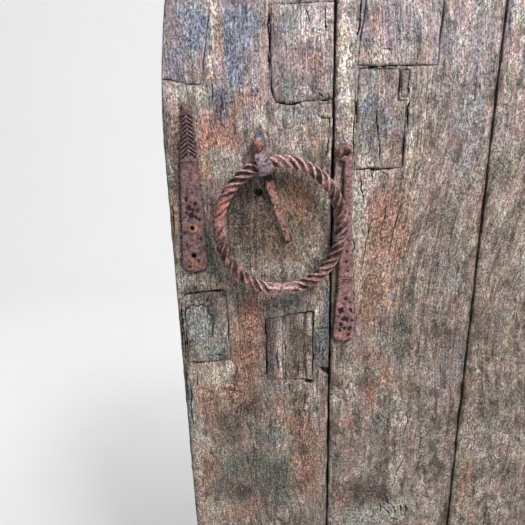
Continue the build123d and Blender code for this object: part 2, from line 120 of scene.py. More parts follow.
def back_outline(node):
    """Outline (x, height) in millimetres of a CAD piece's flat back."""
    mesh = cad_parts[node].data
    points = np.array([v.co for v in mesh.vertices])
    points = (points - np.array(closing_low)) / mm
    depth = points[:, 1].max()
    names = [tuple(np.round(p, 2)) for p in points[:, [0, 2]]]
    edges = {}
    for face in mesh.polygons:
        if all(abs(points[v, 1] - depth) < 0.02 for v in face.vertices):
            ring = [names[v] for v in face.vertices]
            for start, end in zip(ring, ring[1:] + ring[:1]):
                if edges.pop((end, start), None) is None:
                    edges[(start, end)] = True
    loops = [np.array(ring) for ring in chained(edges.keys())]
    return leftwards(min(loops, key=lambda loop: -np.ptp(loop[:, 0]) * np.ptp(loop[:, 1])))


def unit(ways):
    """Each row of directions made one long."""
    return ways / (np.linalg.norm(ways, axis=1, keepdims=True) + 1e-9)


def outward(loop):
    """Unit normals of a closed loop's points, pointing away from its inside."""
    along = unit(unit(loop - np.roll(loop, 1, axis=0)) + unit(np.roll(loop, -1, axis=0) - loop))
    return np.column_stack([along[:, 1], -along[:, 0]]) * (1 if wound_area(loop) > 0 else -1)


def distance_to(points):
    """Function that gives how far a place (x, height) lies from the nearest of the points."""
    tree = KDTree(len(points))
    for number, (x, height) in enumerate(points):
        tree.insert((x, height, 0), number)
    tree.balance()
    return lambda x, height: tree.find((x, height, 0))[2]


def edge_gap(x, height, loops):
    """Distance from each point to the nearest of the outlines' points."""
    away = distance_to([p for loop in loops for p in loop])
    return np.array([away(*spot) for spot in zip(x, height)])


def fine_zone(x, height):
    """True on the part of the door round the handle, which is modelled most finely."""
    return (np.asarray(x) < worked_right) & (np.abs(np.asarray(height) - fine_middle) < fine_reach)


def grid(low, high, step):
    """Places (x, height) of a square grid between two corners."""
    across, up = np.meshgrid(np.arange(low[0], high[0], step), np.arange(low[1], high[1], step))
    return across.ravel(), up.ravel()


def make_piece(name, material, points, faces, marks, crisp_angle, inside_out=False):
    """Smooth mesh with crisp corners beyond an angle, which carries its marks at each point."""
    mesh = bpy.data.meshes.new(name)
    mesh.from_pydata(points.tolist(), [], faces)
    mesh.materials.append(material)
    for mark, values in marks.items():
        layer = mesh.attributes.new(mark, "FLOAT", "POINT")
        layer.data.foreach_set("value", np.ravel(values).astype(np.float32))
    mesh.validate()
    if inside_out:
        mesh.flip_normals()
    mesh.update()
    mesh.shade_smooth()
    mesh.set_sharp_from_angle(angle=math.radians(crisp_angle))
    piece = bpy.data.objects.new(name, mesh)
    bpy.context.scene.collection.objects.link(piece)
    return piece


def worn_loop(loop, fine, coarse, wear, seed, grow=0.0):
    """The same outline with close points, pushed in and out at random as worn wood is."""
    points = []
    for start, end in zip(loop, np.roll(loop, -1, axis=0)):
        length = np.linalg.norm(end - start)
        pieces = 0
        place = 0.0
        while place < length - 1e-6:
            spot = start + (end - start) * place / length
            points.append(spot)
            place += fine if fine_zone(*spot) else coarse
            pieces += 1
        if pieces > 1 and np.linalg.norm(points[-1] - end) < fine * 0.4:
            points.pop()
    points = np.array(points)
    normals = outward(points)
    push = weathering(*points.T, 14, 14, seed) * wear
    if wear > 0.45:
        push -= np.clip(weathering(*points.T, 30, 45, seed + 9), 0, 1) * 1.1 * wear
    push += np.sign(grow) * np.clip(lumps(*points.T, 19, 19, seed + 5) - 0.15, 0, 1) * 1.7
    return points + normals * (grow + push)[:, None]


def crack_lines(cracks, fine):
    """Centre line and two lips of each crack, as points, edges and the depth at each point."""
    points, edges, depths = [], [], []
    for number, (path, width, depth) in enumerate(cracks):
        path = np.array(path, float)
        steps = np.linalg.norm(np.diff(path, axis=0), axis=1)
        total = steps.sum()
        count = max(4, int(total / (fine * 1.6)))
        place = np.linspace(0, total, count)
        reached = np.concatenate([[0], np.cumsum(steps)])
        centre = np.column_stack([np.interp(place, reached, path[:, i]) for i in (0, 1)])
        along = unit(np.gradient(centre, axis=0))
        side = np.column_stack([along[:, 1], -along[:, 0]])
        centre += side * (weathering(place, place * 0, 9, 9, 300 + number) * 0.9)[:, None]
        taper = np.clip(np.minimum(place, total - place) / (total * 0.2 + 1e-6), 0.25, 1)
        half = (width * 0.72 + 0.25) * taper * (1 + 0.55 * lumps(place, place * 0, 6, 6, 320 + number))
        for line, deep in ((centre, depth * taper), (centre + side * half[:, None], 0 * taper),
                           (centre - side * half[:, None], 0 * taper)):
            first = len(points)
            points.extend(line)
            depths.extend(deep)
            edges.extend((first + i, first + i + 1) for i in range(len(line) - 1))
    return points, edges, depths


def weathered_slab(name, material, outline, thickness, relief, fine, coarse, marks, pockets=(),
                   holes=(), cracks=(), rows=(), place=on_door, from_back=False):
    """Closed mesh of a board, plate or repair piece with a worn front and plain sides and back.

    relief gives how far the front lies behind the face, and marks the stains, with the painted light and
    shade among them, as named values from 0 to 1, both for each point; rows are (depth, inset) of the sides;
    pockets are cut into the front and holes go through.
    """
    # The front is meshed from the outlines, the cracks and a shaken grid, fine round the handle.
    loops = [outline, *pockets, *holes]
    points = [tuple(p) for loop in loops for p in loop]
    rims, first = [], 0
    for loop in loops:
        rims.append(list(range(first, first + len(loop))))
        first += len(loop)
    crack_points, crack_edges, crack_depths = crack_lines(cracks, fine)
    edges = [(first + a, first + b) for a, b in crack_edges]
    points += [tuple(p) for p in crack_points]
    away = distance_to(points)
    for step, in_zone in ((fine, True), (coarse, False)):
        across, up = grid(outline.min(0), outline.max(0), step)
        keep = fine_zone(across, up) == in_zone
        across, up = across[keep], up[keep]
        cell = np.arange(len(across))
        across = across + (chance(cell, cell * 0, 5) - 0.5) * step * 0.6
        up = up + (chance(cell, cell * 0, 6) - 0.5) * step * 0.6
        points += [spot for spot in zip(across, up) if away(*spot) > step * 0.6]
    flat, _, triangles, origins, _, sources = delaunay_2d_cdt(
        [Vector(p) for p in points], edges, rims, 0, 1e-5
    )
    flat = np.array([(p[0], p[1]) for p in flat])
    # A triangle in a pocket becomes part of its floor, and one in a hole is left out.
    hole_start = 1 + len(pockets)
    kept = [(triangle, any(s > 0 for s in source)) for triangle, source in zip(triangles, sources)
            if 0 in source and not any(s >= hole_start for s in source)]
    crack = np.zeros(len(flat))
    for i, origin in enumerate(origins):
        for o in origin:
            if first <= o < first + len(crack_depths):
                crack[i] = max(crack[i], crack_depths[o - first])
    from_edge = edge_gap(*flat.T, loops)
    depth = relief(*flat.T, from_edge) + crack
    floor_depth = pocket_depth + 0.8 * weathering(*flat.T, 9, 25, 91)
    # Every point remembers its spot on the front, which later gives its stains.
    verts, spots = [], []

    def vertex(i, deep, moved=None):
        verts.append((*(flat[i] if moved is None else moved), deep))
        spots.append(i)
        return len(verts) - 1

    top = {i: vertex(i, depth[i]) for i in sorted({v for t, low in kept if not low for v in t})}
    # The sides go down in rows from the rim, which is every edge with a triangle on one side only.
    owner = {(a, b): low for t, low in kept for a, b in zip(t, t[1:] + t[:1])}
    rim_edges = [edge for edge in owner if edge[::-1] not in owner]
    rim = sorted({v for edge in rim_edges for v in edge})
    after, before = dict(rim_edges), {b: a for a, b in rim_edges}
    sides = ([(pocket_depth, 0.0)] if pockets else []) + list(rows) + [(thickness, 0.0)]
    side_verts = []
    for deep, inset in sides:
        side = {}
        for i in rim:
            way = flat[after.get(i, i)] - flat[before.get(i, i)]
            normal = np.array([way[1], -way[0]]) / (np.linalg.norm(way) + 1e-9)
            amount = inset(normal) if callable(inset) else inset
            side[i] = vertex(i, deep, flat[i] - normal * amount)
        side_verts.append(side)
    floor = {}
    for i in sorted({v for t, low in kept if low for v in t}):
        floor[i] = side_verts[0][i] if i in side_verts[0] else vertex(i, floor_depth[i])
    # Faces of the front and the floors, then the pockets' walls, then the sides.
    faces = [[(floor if low else top)[v] for v in t] for t, low in kept]
    for (a, b), low in owner.items():
        if (b, a) in owner and not low and owner[(b, a)]:
            faces.append([top[b], top[a], floor[a], floor[b]])
    for a, b in rim_edges:
        column = ([] if owner[(a, b)] else [top]) + side_verts
        for upper, lower in zip(column, column[1:]):
            faces.append([upper[b], upper[a], lower[a], lower[b]])
    # The back is a plain sheet between the last row of the sides.
    last = side_verts[-1]
    back_points = [verts[last[i]][:2] for i in rim]
    spacing = max(coarse * 2.5, 4)
    away = distance_to(back_points)
    back_points += [spot for spot in zip(*grid(outline.min(0), outline.max(0), spacing))
                    if away(*spot) > spacing * 0.6]
    number = {v: i for i, v in enumerate(rim)}
    rings = sorted(([number[v] for v in ring] for ring in chained(after)), key=len, reverse=True)
    flat_back, _, back_triangles, back_origins, _, back_sources = delaunay_2d_cdt(
        [Vector(p) for p in back_points], [], rings, 0, 1e-6
    )
    back = {}
    for i, origin in enumerate(back_origins):
        known = [o for o in origin if o < len(rim)]
        if known:
            back[i] = last[rim[known[0]]]
        else:
            verts.append((*flat_back[i], thickness))
            spots.append(-1)
            back[i] = len(verts) - 1
    for triangle, source in zip(back_triangles, back_sources):
        if len(source) == 1 and (source[0] == 0 or len(rings) == 1):
            faces.append([back[v] for v in reversed(triangle)])
    verts, spots = np.array(verts), np.array(spots)
    x, height, depth = verts.T
    carried = marks(x, height)
    on_face, spots = np.where(spots >= 0, 1.0, 0.0), np.maximum(spots, 0)
    carried["crack"] = on_face * np.clip(crack[spots] / 2.0, 0, 1)
    blackened = np.clip(0.75 + 0.7 * weathering(x, height, 17, 17, 92), 0.15, 1)
    blackened = blackened * (1 - np.clip(carried.get("faint", 0), 0, 1))
    carried["joint"] = np.clip(1 - from_edge[spots] / 1.5, 0, 1) * on_face * blackened
    return make_piece(name, material, place(x, depth, height), faces, carried,
                      crisp_angle=38, inside_out=from_back)


def linear(colour):
    """Colour for a shader from a written one such as "8a6f62"."""
    levels = [int(colour[i:i + 2], 16) / 255 for i in (0, 2, 4)]
    levels = [v / 12.92 if v <= 0.04045 else ((v + 0.055) / 1.055) ** 2.4 for v in levels]
    return (*levels, 1.0)


class Level:
    """Result of one step of a material's making: a value or colour for the steps after it."""

    def __init__(self, finish, socket):
        self.finish, self.socket = finish, socket

    def __add__(self, other):
        return self.finish.step("Math", {0: self, 1: other}, operation="ADD")

    def __sub__(self, other):
        return self.finish.step("Math", {0: self, 1: other}, operation="SUBTRACT")

    def __mul__(self, other):
        return self.finish.step("Math", {0: self, 1: other}, operation="MULTIPLY")


class Finish:
    """A material being made: each call adds one step and gives the step's result."""

    def __init__(self, name, roughness, specular=0.3):
        self.material = bpy.data.materials.new(name)
        self.material.use_nodes = True
        self.tree = self.material.node_tree
        self.surface = self.tree.nodes["Principled BSDF"]
        self.surface.inputs["Specular IOR Level"].default_value = specular
        self.surface.inputs["Roughness"].default_value = roughness

    def step(self, kind, inputs, output=0, **settings):
        step = self.tree.nodes.new("ShaderNode" + kind)
        for name, value in settings.items():
            setattr(step, name, value)
        for socket, value in inputs.items():
            if isinstance(value, Level):
                self.tree.links.new(value.socket, step.inputs[socket])
            else:
                step.inputs[socket].default_value = value
        return Level(self, step.outputs[output])

    def mark(self, name):
        """Value of a stain or wear mark that the mesh carries."""
        return self.step("Attribute", {}, output=2, attribute_name=name)

    def place(self):
        return self.step("TexCoord", {}, output=3)

    def noise(self, place, scale, detail=3.0, roughness=0.6, twist=0.0):
        return self.step("TexNoise", {"Vector": place, "Scale": scale, "Detail": detail,
                                      "Roughness": roughness, "Distortion": twist})

    def rise(self, value, low, high, start=0.0, end=1.0):
        """Smooth step of a value from start at low to end at high."""
        return self.step("MapRange", {0: value, 1: low, 2: high, 3: start, 4: end},
                         interpolation_type="SMOOTHSTEP")

    def blend(self, share, under, over, how="MIX"):
        colours = [linear(c) if isinstance(c, str) else c for c in (under, over)]
        return self.step("Mix", {0: share, 6: colours[0], 7: colours[1]}, output=2,
                         data_type="RGBA", blend_type=how)

    def tones(self, value, *stops):
        """Colour that runs through written tones as a value rises; stops are (value, tone)."""
        ramp = self.step("ValToRGB", {0: value})
        line = ramp.socket.node.color_ramp.elements
        for i, (at, tone) in enumerate(stops):
            spot = line[i] if i < 2 else line.new(at)
            spot.position, spot.color = at, linear(tone)
        return ramp

    def finish(self, colour, roughness, height, depth):
        bump = self.step("Bump", {"Height": height, "Distance": depth, "Strength": 1.0})
        for socket, level in (("Base Color", colour), ("Roughness", roughness), ("Normal", bump)):
            self.tree.links.new(level.socket, self.surface.inputs[socket])
        return self.material


def weathered_wood(name, tones, lift=1.0):
    """Old oak: grain and pores along its height, with the stains and the painted light and shade that the
    mesh carries.
    """
    wood = Finish(name, roughness=0.9, specular=0.22)
    depth = wood.step("SeparateXYZ", {0: wood.place()}, output=1)
    across, along = wood.mark("across"), wood.mark("along")

    def along_grain(wide, tall, start=0.0):
        return wood.step("CombineXYZ", {0: across * wide, 1: depth * wide, 2: along * tall + start})

    def shaded(colour, level):
        grey = wood.step("CombineColor", {0: level, 1: level, 2: level})
        return wood.blend(1.0, colour, grey, "MULTIPLY")

    fine = wood.noise(along_grain(620.0, 260.0), 1.0, 4.0, 0.78, 0.3)
    streak = wood.noise(along_grain(170.0, 12.0), 1.0, 5.0, 0.66, 0.4)
    cloud = wood.noise(along_grain(40.0, 21.0), 1.0, 6.0, 0.7, 0.7)
    drift = wood.noise(along_grain(100.0, 50.0, 7.0), 1.0, 6.0, 0.76, 0.5)
    mottle = wood.noise(along_grain(180.0, 130.0, 3.0), 1.0, 5.0, 0.8, 0.8)
    flake = wood.noise(along_grain(420.0, 300.0, 5.0), 1.0, 4.0, 0.8)
    thread = wood.noise(along_grain(640.0, 34.0, 9.0), 1.0, 4.0, 0.75, 0.2)
    threaded = wood.mark("threaded")
    speck = wood.noise(wood.place(), 430.0, 4.0, 0.85)
    # The bare weathered wood.
    colour = wood.tones(cloud * 0.55 + drift * 0.45, *tones)
    colour = wood.blend(wood.rise(cloud, 0.44, 0.6) * 0.35, colour, "a58d86")
    colour = wood.blend(wood.rise(streak, 0.49, 0.38) * 0.6, colour, "52433a")
    # The stains, with the painted shade and highlight that share their lists, torn at their edges and
    # speckled inside.
    broken = (drift + mottle * 0.8 - 0.9) * 1.9
    speckle = wood.rise(fine, 0.42, 0.58)
    for mark, low, high, reach in (
        ("pale", "afa095", "d6c9bd", 0.9), ("salmon", "775245", "ba8f7a", 0.8),
        ("rust", "7a4c3b", "c08a72", 0.7), ("moss", "34403d", "65726b", 0.85),
        ("blue", "303d4c", "6b798c", 0.95), ("dark", "211915", "483a33", 0.95),
        ("lichen", "7d7f78", "bdbdb4", 0.75),
    ):
        stain = wood.mark(mark)
        share = wood.rise(stain + broken, 0.05, 0.9) * wood.rise(stain, 0.0, 0.25)
        ragged = wood.rise(flake, 0.6, 0.4, 0.6 * reach, reach)
        colour = wood.blend(share * ragged, colour, wood.blend(speckle, low, high))
    # Painted light: the wood is made lighter and cooler above the handle and darker towards the foot, as
    # light falls from above.
    bleached = wood.mark("bleached")
    painted_cool_light = wood.rise(bleached, 1.0, 1.5, 0.0, 0.4)
    colour = wood.blend(painted_cool_light, colour, wood.blend(0.5, colour, "9494ae"))
    # Red, green and blue are each made stronger and weaker in specks of their own.
    for wide, tall, start, contrast in ((50.0, 34.0, 2.0, 0.6), (170.0, 120.0, 4.0, 0.5),
                                        (480.0, 330.0, 6.0, 0.5)):
        many = wood.step("TexNoise", {"Vector": along_grain(wide, tall, start), "Scale": 1.0,
                                      "Detail": 4.0, "Roughness": 0.78}, output=1)
        gain = wood.step("VectorMath", {0: many, 1: (contrast,) * 3, 2: (1 - contrast / 2,) * 3},
                         operation="MULTIPLY_ADD")
        colour = wood.blend(1.0, colour, gain, "MULTIPLY")
    # Light and shade of the grain.
    colour = shaded(colour, wood.rise(drift, 0.36, 0.64, 0.75, 1.25))
    mottled = wood.rise(mottle, 0.36, 0.64, -0.3, 0.32) * wood.rise(bleached, 1.05, 1.5, 1.0, 0.6)
    colour = shaded(colour, mottled + 1.0)
    colour = shaded(colour, wood.rise(fine, 0.36, 0.62, 0.45, 1.5))
    grained = (wood.rise(thread, 0.34, 0.66) - 0.5) * threaded
    colour = shaded(colour, grained + 1.03)
    # Slanting scuffs where the ring has rubbed.
    for lean, tone in ((25, "c2966c"), (-32, "a88468")):
        turned_place = wood.step("VectorRotate", {"Vector": wood.place(), "Angle": math.radians(lean)},
                                 rotation_type="Y_AXIS")
        stretched = wood.step("VectorMath", {0: turned_place, 1: (520.0, 520.0, 38.0)},
                              operation="MULTIPLY")
        scuff = wood.noise(stretched, 1.0, 3.0, 0.6, 0.2)
        scratched = wood.rise(scuff, 0.54, 0.64) * (wood.mark("scuffed") * 0.8)
        colour = wood.blend(scratched, colour, tone)
        colour = shaded(colour, wood.rise(scuff, 0.48, 0.36) * (wood.mark("scuffed") * -0.5) + 1.0)
    warmth = wood.rise(streak, 0.5, 0.62) * (threaded * 0.5)
    colour = wood.blend(warmth, colour, wood.blend(0.6, colour, "b98f7c"))
    # Black and pale specks.
    roughened = wood.rise(drift, 0.38, 0.62, 0.55, 1.0)
    colour = wood.blend(wood.rise(speck, 0.49, 0.4) * roughened, colour, shaded(colour, 0.2))
    light = wood.rise(speck, 0.54, 0.66) * (roughened * wood.rise(bleached, 1.05, 1.5, 0.65, 0.3))
    light = light * wood.rise(wood.mark("faint"), 0.2, 1.0, 1.0, 0.3)
    colour = wood.blend(light, colour, "d3c6bd")
    # Painted light: the colour is scaled by the level that changes with height, lighter above the handle and
    # darker towards the foot.
    colour = shaded(colour, bleached * lift)
    # Black joints and cracks.
    grime = wood.mark("joint") * wood.rise(mottle, 0.36, 0.6, 0.35, 1.0)
    colour = wood.blend(grime * 0.8, colour, "1c1512")
    colour = wood.blend(wood.rise(wood.mark("crack"), 0.04, 0.55), colour, "0d0a09")
    relief = fine * 0.6 + speck * 0.45 + streak * 0.6 + mottle * 0.9 + thread * threaded * 0.8
    return wood.finish(colour, wood.rise(speck, 0.3, 0.7, 0.95, 0.78), relief, 0.0016)


board_oak = weathered_wood("weathered_oak", [
    (0.34, "4c423a"), (0.44, "766a61"), (0.5, "93877d"), (0.56, "a39791"), (0.66, "c6b8ac"),
], lift=1.035)

# Stains are (from the closing edge, above the handle's middle, half width, half height, strength). Among
# them, the dark patches inside the top of the ring are painted shade under the ring and its strap, and the
# pale and blue strips along the closing edge are painted highlight on its rounded corner.
stains_and_painted_light = {
    "blue": [
        (50, 235, 11, 12, 0.8), (55, 219, 8, 14, 0.7), (48, 209, 11, 10, 0.6), (17, 191, 7, 10, 0.7),
        (21, 179, 11, 7, 0.6), (37, 240, 11, 8, 0.4), (84, 235, 8, 12, 0.9), (96, 221, 16, 13, 1),
        (89, 200, 10, 16, 1), (83, 181, 8, 12, 0.8), (63, 152, 11, 9, 0.9), (73, 133, 7, 12, 0.7),
        (108, 233, 11, 13, 0.5), (147, 220, 14, 13, 0.4), (136, 186, 7, 10, 0.5), (163, 132, 22, 7, 0.4),
        (235, 206, 11, 8, 0.5), (259, 223, 11, 11, 0.3), (239, 139, 9, 10, 0.3), (232, 122, 11, 21, 0.3),
        (266, 117, 13, 21, 0.3), (144, 159, 17, 10, 0.4), (111, 156, 9, 10, 0.4), (103, 134, 7, 11, 0.5),
        (197, -117, 3, 30, 0.6), (121, -128, 6, 14, 0.4), (188, -151, 7, 14, 0.35), (5, -129, 4, 23, 0.5),
        (126, 4, 8, 18, 0.4), (3, 60, 3, 17, 0.9), (7, -257, 5, 39, 0.8), (0, -300, 5, 33, 0.8),
        (3, -218, 3, 20, 0.6), (122, -175, 9, 17, 0.3), (188, -182, 9, 19, 0.35), (131, -304, 9, 11, 0.5),
        (247, -226, 9, 10, 0.5), (96, 208, 15, 30, 0.8), (90, 172, 9, 20, 0.6), (40, 214, 20, 26, 0.45),
        (9, 110, 6, 40, 0.4), (78, 150, 12, 16, 0.5), (32, -128, 22, 30, 0.9), (30, 200, 16, 10, 0.4),
        (160, 225, 18, 12, 0.3), (250, 130, 14, 30, 0.3), (160, 132, 25, 12, 0.3),
    ],
    "pale": [
        (136, -165, 2.5, 46, 1.6), (28, 60, 6, 30, 0.3), (165, 225, 24, 16, 0.6), (150, 205, 18, 14, 0.3),
        (40, -206, 24, 13, 0.9), (25, -440, 25, 30, 0.7), (112, 225, 10, 30, 0.35),
        (303, -440, 16, 16, 0.8), (276, -456, 14, 8, 0.6), (234, -10, 8, 60, 1), (64, 222, 8, 30, 0.3),
        (69, 233, 7, 34, 1), (67, 193, 11, 30, 0.9), (54, 158, 11, 10, 0.6), (10, 202, 5, 42, 0.5),
        (87, 157, 9, 21, 0.7), (118, 132, 7, 21, 0.5), (213, 154, 8, 38, 1), (211, 221, 8, 41, 0.7),
        (223, 106, 11, 18, 0.8), (257, 188, 8, 10, 1), (237, 59, 18, 8, 1), (186, 214, 11, 16, 0.5),
        (177, 233, 18, 9, 0.4), (138, 131, 9, 7, 0.5), (191, 128, 8, 5, 0.7), (157, 95, 23, 11, 0.5),
        (198, 84, 6, 22, 0.8), (13, 155, 13, 9, 0.6), (290, 82, 6, 28, 0.7), (274, 202, 9, 13, 0.5),
        (234, 6, 8, 60, 1), (237, 54, 12, 15, 1), (179, -27, 12, 17, 0.6), (188, 18, 8, 28, 0.7),
        (195, 8, 3, 32, 1), (135, -53, 25, 9, 0.5), (52, -4, 10, 41, 0.5), (41, -67, 12, 13, 0.5),
        (183, -121, 6, 23, 0.7), (160, -129, 9, 9, 0.6), (173, -139, 4, 19, 0.7), (136, -147, 6, 21, 1),
        (232, -56, 6, 26, 0.6), (63, -140, 9, 19, 0.6), (73, 31, 8, 12, 0.4), (24, -202, 13, 15, 0.8),
        (64, -195, 7, 12, 1), (137, -173, 5, 27, 1), (173, -199, 4, 12, 0.7),
        (180, -245, 11, 23, 0.6), (136, -321, 7, 11, 0.9), (31, -312, 14, 11, 0.5),
        (15, -300, 9, 22, 0.5), (301, -383, 7, 29, 0.9), (305, -288, 14, 16, 0.6),
        (207, -246, 5, 23, 0.5), (252, -370, 14, 14, 0.5), (14, -262, 7, 50, 0.8), (12, -330, 7, 50, 0.8),
        (35, -350, 16, 34, 0.35), (40, -222, 18, 16, 0.5), (236, -20, 8, 80, 1), (238, 52, 12, 24, 0.6),
        (309, -358, 4, 13, 1.8), (304, -376, 4, 13, 1.8), (262, -40, 24, 60, 0.5),
        (160, -190, 26, 60, 0.2), (301, -398, 4, 14, 1.8), (296, -374, 3, 12, 1.2),
        (255, -270, 40, 60, 0.2), (230, -230, 14, 40, 0.4), (16, -158, 5, 26, 0.5),
    ],
    "salmon": [
        (48, 116, 13, 16, 1), (68, 112, 17, 14, 1), (40, 83, 10, 19, 1), (77, 101, 15, 11, 0.8),
        (50, 70, 12, 11, 0.8), (16, 99, 8, 40, 0.9), (17, 131, 9, 11, 0.5), (100, 146, 13, 12, 0.8),
        (82, 133, 9, 12, 0.8), (115, 149, 11, 10, 0.6), (74, 220, 5, 22, 0.8), (62, 171, 16, 8, 0.6),
        (161, 190, 14, 14, 0.45), (181, 188, 11, 14, 0.45), (185, 172, 11, 16, 0.4),
        (70, 222, 9, 40, 0.5), (187, 98, 11, 9, 0.7), (245, 223, 11, 16, 0.6), (239, 190, 11, 8, 0.6),
        (210, 208, 11, 13, 0.4), (259, 145, 11, 17, 0.5), (271, 95, 10, 15, 0.6), (39, 180, 11, 8, 0.5),
        (5, 21, 6, 32, 1), (155, 42, 16, 16, 0.9), (146, 19, 10, 8, 1.3), (166, 22, 10, 24, 0.7),
        (146, -32, 10, 13, 0.8), (98, 4, 10, 16, 0.5), (91, 34, 12, 10, 0.5), (58, -101, 8, 13, 0.4),
        (96, -114, 15, 20, 1.1), (93, -141, 17, 28, 1.2), (111, -100, 8, 13, 0.6), (266, 10, 24, 40, 0.9),
        (260, -65, 23, 54, 0.9), (284, -19, 16, 33, 0.7), (247, -118, 17, 27, 0.6),
        (116, -17, 20, 10, 0.4), (0, -40, 6, 25, 0.4), (87, -174, 15, 22, 1.1), (90, -214, 13, 30, 1),
        (64, -241, 14, 31, 0.8), (26, -232, 13, 23, 0.8), (38, -263, 14, 24, 0.7),
        (80, -247, 14, 23, 0.8), (171, -350, 26, 31, 0.9), (148, -280, 25, 16, 0.8),
        (173, -305, 23, 16, 0.8), (134, -243, 14, 15, 0.5), (98, -411, 24, 18, 0.6),
        (67, -441, 25, 18, 0.9), (19, -382, 14, 47, 0.6), (94, -364, 14, 11, 0.8),
        (33, -351, 24, 17, 0.5), (278, -210, 13, 20, 0.8), (259, -242, 9, 23, 1),
        (232, -329, 14, 28, 0.5), (222, -422, 15, 27, 0.5), (254, -180, 13, 15, 0.7),
        (176, -402, 19, 24, 0.6), (231, -286, 14, 16, 0.5),
    ],
    "lichen": [
        (76, 86, 15, 9, 1), (70, 71, 17, 11, 0.8), (87, 67, 12, 9, 0.8), (53, 244, 10, 5, 0.7),
        (42, 198, 5, 5, 0.6), (186, 219, 7, 6, 0.6), (4, 71, 8, 11, 0.6), (163, 155, 22, 9, 0.5),
        (159, 120, 23, 14, 0.4), (256, 62, 12, 8, 0.8), (20, 167, 16, 5, 0.5), (133, -57, 29, 9, 0.7),
        (35, -152, 22, 30, 1.2), (26, -118, 16, 16, 0.8), (12, -60, 9, 26, 0.7), (234, 20, 9, 50, 0.5),
        (10, -270, 6, 30, 0.6), (8, -340, 6, 40, 0.6), (172, -37, 12, 15, 0.6), (150, -52, 21, 9, 0.6),
        (89, -35, 10, 17, 0.5), (183, -8, 8, 20, 0.5), (232, 30, 6, 20, 0.5), (265, -454, 27, 19, 1.4),
        (309, -443, 17, 18, 1.4), (257, -367, 14, 12, 0.6), (299, -267, 14, 16, 0.8),
        (308, -299, 9, 16, 0.5), (129, -301, 9, 8, 0.7), (88, -281, 9, 16, 0.4), (64, -200, 7, 10, 0.8),
        (213, -458, 15, 9, 0.8), (290, -195, 7, 15, 0.5),
    ],
    "dark": [
        (112, 43, 13, 17, 1.5), (104, 56, 9, 9, 0.8), (120, 60, 12, 9, 1.1), (9, -160, 4, 26, 0.9),
        (98, 20, 14, 28, 1), (92, -6, 11, 22, 0.8), (87, 147, 7, 10, 0.6), (70, 144, 7, 17, 0.7),
        (161, 198, 11, 7, 0.5), (277, 99, 8, 11, 0.7), (19, 88, 6, 30, 0.7), (109, 96, 11, 7, 0.6),
        (161, 165, 11, 10, 0.5), (87, 31, 12, 20, 0.8), (93, -14, 10, 25, 0.8), (111, 40, 16, 16, 1),
        (110, 10, 12, 24, 0.8), (126, -11, 12, 21, 0.6), (143, 58, 35, 10, 0.9), (74, 11, 6, 20, 0.7),
        (158, 3, 12, 12, 0.6), (76, -34, 8, 17, 0.6), (12, 48, 6, 19, 0.7), (5, -11, 6, 12, 0.6),
        (50, 39, 6, 23, 0.6), (64, -42, 8, 13, 0.6), (36, -89, 13, 9, 0.5), (43, -107, 6, 14, 0.8),
        (121, -142, 9, 23, 0.9), (92, -162, 15, 7, 0.7), (158, -139, 13, 23, 0.5), (65, 51, 6, 12, 0.5),
        (291, -136, 13, 14, 0.4), (91, -194, 11, 7, 0.7), (98, -247, 9, 23, 0.7), (46, -277, 9, 16, 0.6),
        (84, -257, 9, 8, 0.8), (47, -312, 14, 11, 0.6), (73, -302, 14, 14, 0.5), (12, -276, 7, 16, 0.6),
        (157, -184, 9, 15, 0.4), (217, -178, 11, 7, 0.5), (258, -405, 24, 24, 0.8),
        (289, -421, 20, 18, 0.6), (74, -399, 15, 12, 0.5), (245, -219, 9, 10, 0.5),
        (119, -215, 9, 15, 0.4), (56, -267, 5, 16, 0.5), (96, 34, 14, 28, 1.1), (104, -6, 14, 26, 0.8),
        (140, -24, 22, 16, 0.5), (77, -275, 18, 26, 0.5), (70, -400, 20, 30, 0.5), (9, 110, 7, 45, 0.5),
        (121, -165, 6, 40, 0.6), (152, -160, 8, 30, 0.4), (247, -440, 9, 26, 0.4),
        (198, -170, 5, 20, 0.3),
    ],
    "rust": [
        (48, 112, 16, 14, 0.9), (66, 108, 16, 10, 0.8), (20, 95, 8, 28, 0.6), (84, 100, 12, 9, 0.5),
        (155, 42, 7, 9, 0.9), (160, 22, 6, 14, 0.8), (96, -114, 11, 16, 0.6), (93, -141, 13, 24, 0.7),
        (87, -175, 12, 18, 0.5), (240, 218, 9, 12, 0.2), (262, -10, 16, 40, 0.4), (70, 205, 8, 26, 0.35),
        (5, 15, 6, 30, 0.5), (256, -240, 8, 20, 0.5),
    ],
    "faint": [
        (66, -135, 5, 46, 1.6), (54, -182, 10, 5, 0.9), (60, 215, 11, 42, 1.3), (47, 222, 4, 36, 0.6),
        (128, -216, 8, 5, 0.7), (141, -165, 3, 34, 1), (163, -119, 16, 4, 0.5),
    ],
    "moss": [
        (148, 162, 15, 12, 0.6), (167, 148, 28, 7, 0.5), (231, 102, 10, 22, 0.5), (249, 92, 15, 22, 0.4),
        (138, 207, 7, 26, 0.4), (17, 215, 5, 6, 0.5), (128, 90, 11, 11, 0.4), (44, -4, 8, 29, 0.6),
        (48, -33, 10, 21, 0.7), (48, -59, 19, 13, 0.6), (68, -86, 13, 9, 0.5), (134, -103, 25, 14, 0.6),
        (160, -109, 17, 14, 0.5), (28, -116, 19, 27, 0.4), (55, -121, 13, 23, 0.4),
        (188, -142, 6, 14, 0.9), (125, -61, 21, 13, 0.5), (162, -8, 12, 18, 0.5),
        (295, -136, 13, 21, 0.8), (196, -114, 4, 32, 0.6), (115, -298, 14, 16, 1),
        (86, -338, 21, 14, 1), (106, -365, 12, 17, 0.9), (118, -380, 22, 26, 1),
        (53, -369, 12, 20, 0.8), (124, -415, 17, 21, 0.8), (40, -398, 15, 18, 0.6),
        (66, -358, 10, 17, 0.8), (47, -269, 9, 11, 0.5), (104, -345, 30, 40, 0.35),
